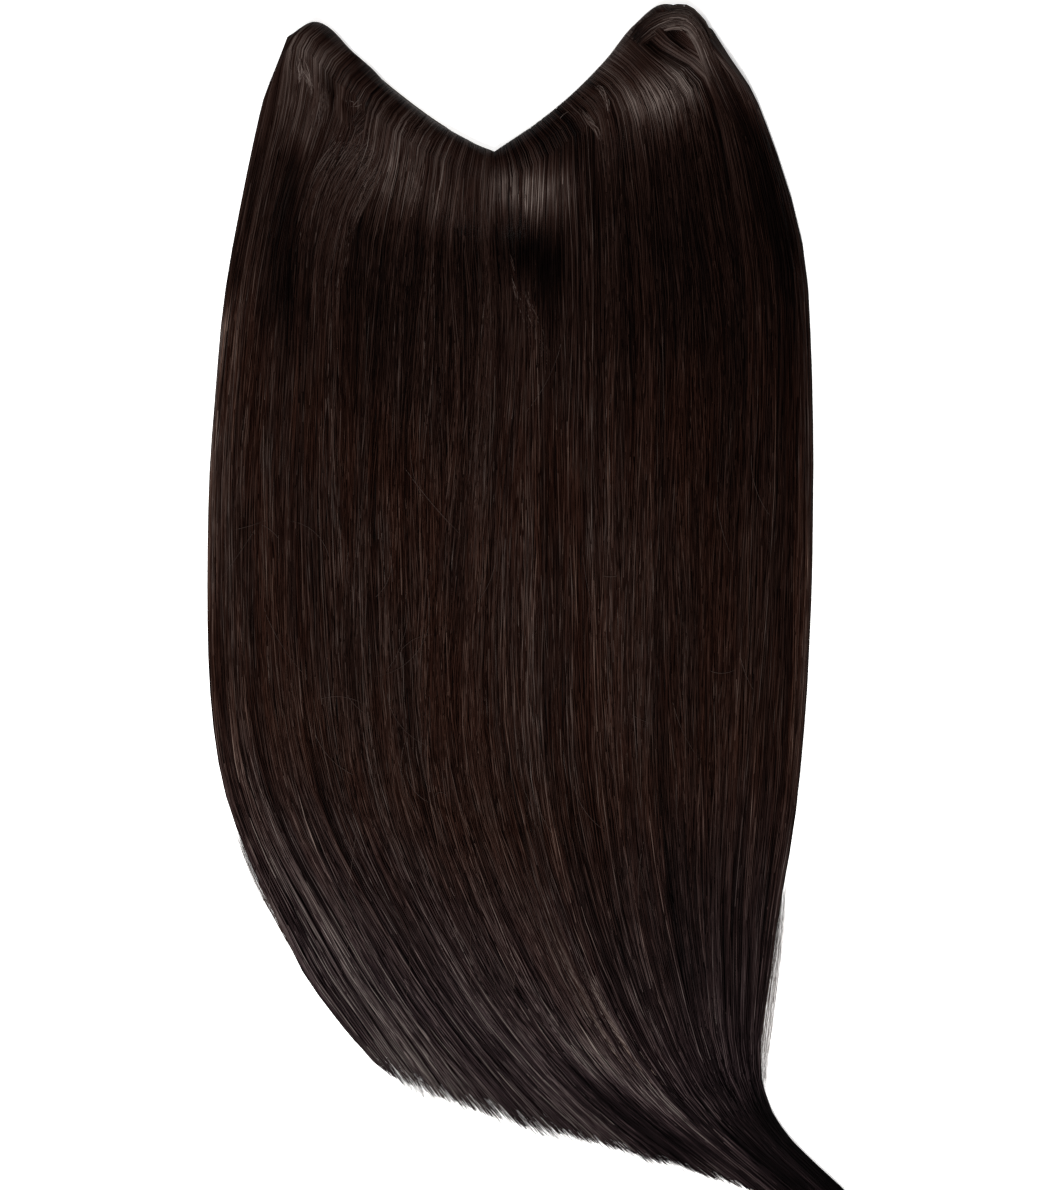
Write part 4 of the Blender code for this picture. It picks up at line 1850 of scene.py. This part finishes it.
    def grow_flyaways(self, dice: np.random.Generator) -> Lines:
        """Grow the single hairs astray.

        Args:
            dice: The source of chance.

        Returns:
            The hairs: the given ones, then those at random.
        """
        sheet = self.maker.sheet
        hairs = list(FLYAWAYS)
        for _ in range(self.random_flyaways):
            spot = dice.uniform(*self.astray_across), dice.uniform(*self.astray_down)
            heading = dice.normal(*self.astray_heading)
            hairs.append(
                Flyaway(*spot, heading, dice.uniform(*self.astray_length), dice.normal(*self.astray_bend))
            )
        steps = self.astray_steps
        count = len(hairs)
        way = np.linspace(0, 1, steps)
        start = np.array([sheet.place(hair.across, hair.down) for hair in hairs])
        columns = np.array([(hair.heading, hair.bend, hair.length, hair.light) for hair in hairs]).T
        heading, bend, length, light = columns[..., None]
        angle = np.radians(heading + bend * way[None])
        moves = np.stack([np.cos(angle), np.sin(angle)], axis=-1) * (length / steps)[..., None]
        place = start[:, None] + np.cumsum(moves, axis=1)
        ends, middle = self.astray_heights
        high = sheet.height(*sheet.find(place)) + ends + middle * np.sin(math.pi * way)[None]
        return Lines(
            points=np.concatenate([place, high[..., None]], axis=-1),
            thick=np.broadcast_to(self.astray_thick * (1 - self.astray_taper * way), (count, steps)),
            loose=np.full((count, steps), self.astray_loose),
            column=self.maker.finish.column(
                np.full(count, self.astray_strip), np.full(count, self.astray_level)
            ),
            along=way[None] * length / sheet.length,
            light=light + np.zeros((1, steps)),
        )

    def grow_wisps(self, dice: np.random.Generator) -> Lines:
        """Grow the fine hairs at the tips.

        Args:
            dice: The source of chance.

        Returns:
            The hairs.
        """
        sheet = self.maker.sheet
        shape = (self.wisps, 1)
        way = np.linspace(0, 1, self.wisp_steps)[None]
        home = dice.uniform(*self.wisp_guides, shape)
        start = dice.uniform(*self.wisp_starts, shape)
        end = self.wisp_end + dice.normal(0, self.wisp_end_spread, shape)
        share = start + (end - start) * way
        guide = home + dice.normal(0, self.wisp_stray, shape) * way**self.wisp_curve
        place = sheet.position(guide, share)
        high = sheet.height(guide, share) * dice.uniform(*self.wisp_heights, shape)
        thick = self.wisp_thick * (1 - self.wisp_taper * way) * dice.uniform(*self.thickness, shape)
        level = self.wisp_level + dice.normal(0, self.wisp_level_spread, self.wisps)
        return Lines(
            points=np.concatenate([place, np.maximum(high, self.least_height)[..., None]], axis=-1),
            thick=thick,
            loose=np.broadcast_to(way, share.shape),
            column=self.maker.finish.column(home[:, 0] / (len(GUIDES) - 1), level),
            along=np.clip(share, 0, 1),
            light=np.full(share.shape, self.wisp_light),
        )


@dataclass
class WeftBand:
    """The sewn band along the V edge."""

    finish: RibbonFinish = RibbonFinish()

    def dress(self) -> None:
        """Give the band's solid its woven finish."""
        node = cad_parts["weft_band"]
        node.data.materials.clear()
        node.data.materials.append(self.finish.material())
        log.info("weft_band: dressed")


@dataclass
class Studio:
    """The pale floor, the soft lights and the camera."""

    floor_size: float = 6.0
    floor_depth: float = 0.0002
    # For each light its name, place, size, power and colour
    lights: tuple = (
        ("key", (0.0, -1.13, 2.22), 0.5, 88.0, (1.0, 0.975, 0.95)),
        ("low_left", (-1.15, -1.15, 1.60), 0.8, 26.0, (1.0, 0.98, 0.97)),
        ("high_left", (-1.20, 1.10, 1.80), 0.9, 34.0, (1.0, 0.98, 0.96)),
    )
    middle: tuple = (-0.0052, 0.0056)
    camera_height: float = 2.6
    view_length: float = 0.595
    sensor: float = 36.0
    camera_reach: float = 20.0
    world_light: float = 0.10

    def build(self) -> None:
        """Set up the room."""
        self.build_floor()
        self.build_world()
        for light in self.lights:
            self.add_light(*light)
        self.build_camera()

    def build_floor(self) -> None:
        """Lay the floor."""
        size = self.floor_size
        mesh = bpy.data.meshes.new("studio_floor")
        corners = [(-size, -size), (size, -size), (size, size), (-size, size)]
        mesh.from_pydata([(x, y, -self.floor_depth) for x, y in corners], [], [(0, 1, 2, 3)])
        mesh.materials.append(FloorFinish().material())
        add_object("studio_floor", mesh)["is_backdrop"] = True

    def build_world(self) -> None:
        """Light everything a little from all round."""
        world = bpy.data.worlds.new("studio")
        world.use_nodes = True
        sky = world.node_tree.nodes["Background"]
        sky.inputs["Color"].default_value = (1.0, 1.0, 1.0, 1.0)
        sky.inputs["Strength"].default_value = self.world_light
        bpy.context.scene.world = world
        bpy.context.scene.view_settings.view_transform = "Standard"

    @staticmethod
    def add_light(name: str, place: tuple, size: float, power: float, color: tuple) -> None:
        """Hang a square soft light that faces the middle of the floor.

        Args:
            name: The light's name.
            place: Where it hangs.
            size: The length of its sides.
            power: Its power in watts.
            color: Its colour.
        """
        data = bpy.data.lights.new(name, "AREA")
        data.size = size
        data.energy = power
        data.color = color
        light = bpy.data.objects.new(name, data)
        light.location = place
        light.rotation_euler = (-Vector(place)).to_track_quat("-Z", "Y").to_euler()
        bpy.context.scene.collection.objects.link(light)

    def build_camera(self) -> None:
        """Put the camera straight above, with the photograph's frame."""
        data = bpy.data.cameras.new("camera")
        data.sensor_width = self.sensor
        data.lens = self.sensor * self.camera_height / self.view_length
        data.clip_end = self.camera_reach
        camera = bpy.data.objects.new("camera", data)
        camera.location = (*self.middle, self.camera_height)
        bpy.context.scene.collection.objects.link(camera)
        bpy.context.scene.camera = camera


# How deep the hairs of each layer lie: the shallowest and the deepest
DEPTHS = {Layer.WHOLE: (0.0, 0.0020), Layer.UPPER: (0.0, 0.0010), Layer.LOWER: (0.0006, 0.0024)}

# For each panel its node, first and last guide, slot, hairs by layer, seed, and steps beyond the roll
PANELS = [
    ("hair_left_wing", 0, 2, "hair_wing", {Layer.WHOLE: 520}, 11, 27),
    ("hair_left_panel", 2, 5, "hair_panel", {Layer.UPPER: 740, Layer.LOWER: 550}, 21, 20),
    ("hair_centre_panel", 5, 7, "hair_centre", {Layer.WHOLE: 620}, 31, 20),
    ("hair_right_panel", 7, 9, "hair_panel", {Layer.UPPER: 640, Layer.LOWER: 460}, 41, 20),
    ("hair_right_wing", 9, 11, "hair_wing", {Layer.WHOLE: 560}, 51, 27),
]


def main() -> None:
    """Build the weft and the studio."""
    logging.basicConfig(level=logging.INFO, format="%(message)s")
    solid_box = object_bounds()
    maker = HairMaker(FlowSheet(*solid_box), SweepTree())
    WeftBand().dress()
    for name, first, last, slot, counts, seed, onward_steps in PANELS:
        batches = tuple(Batch(layer, count, *DEPTHS[layer]) for layer, count in counts.items())
        HairPanel(name, first, last, slot, batches, maker, seed, onward_steps).build()
    LooseHair(maker).build()
    Studio().build()


if __name__ == "__main__":
    main()
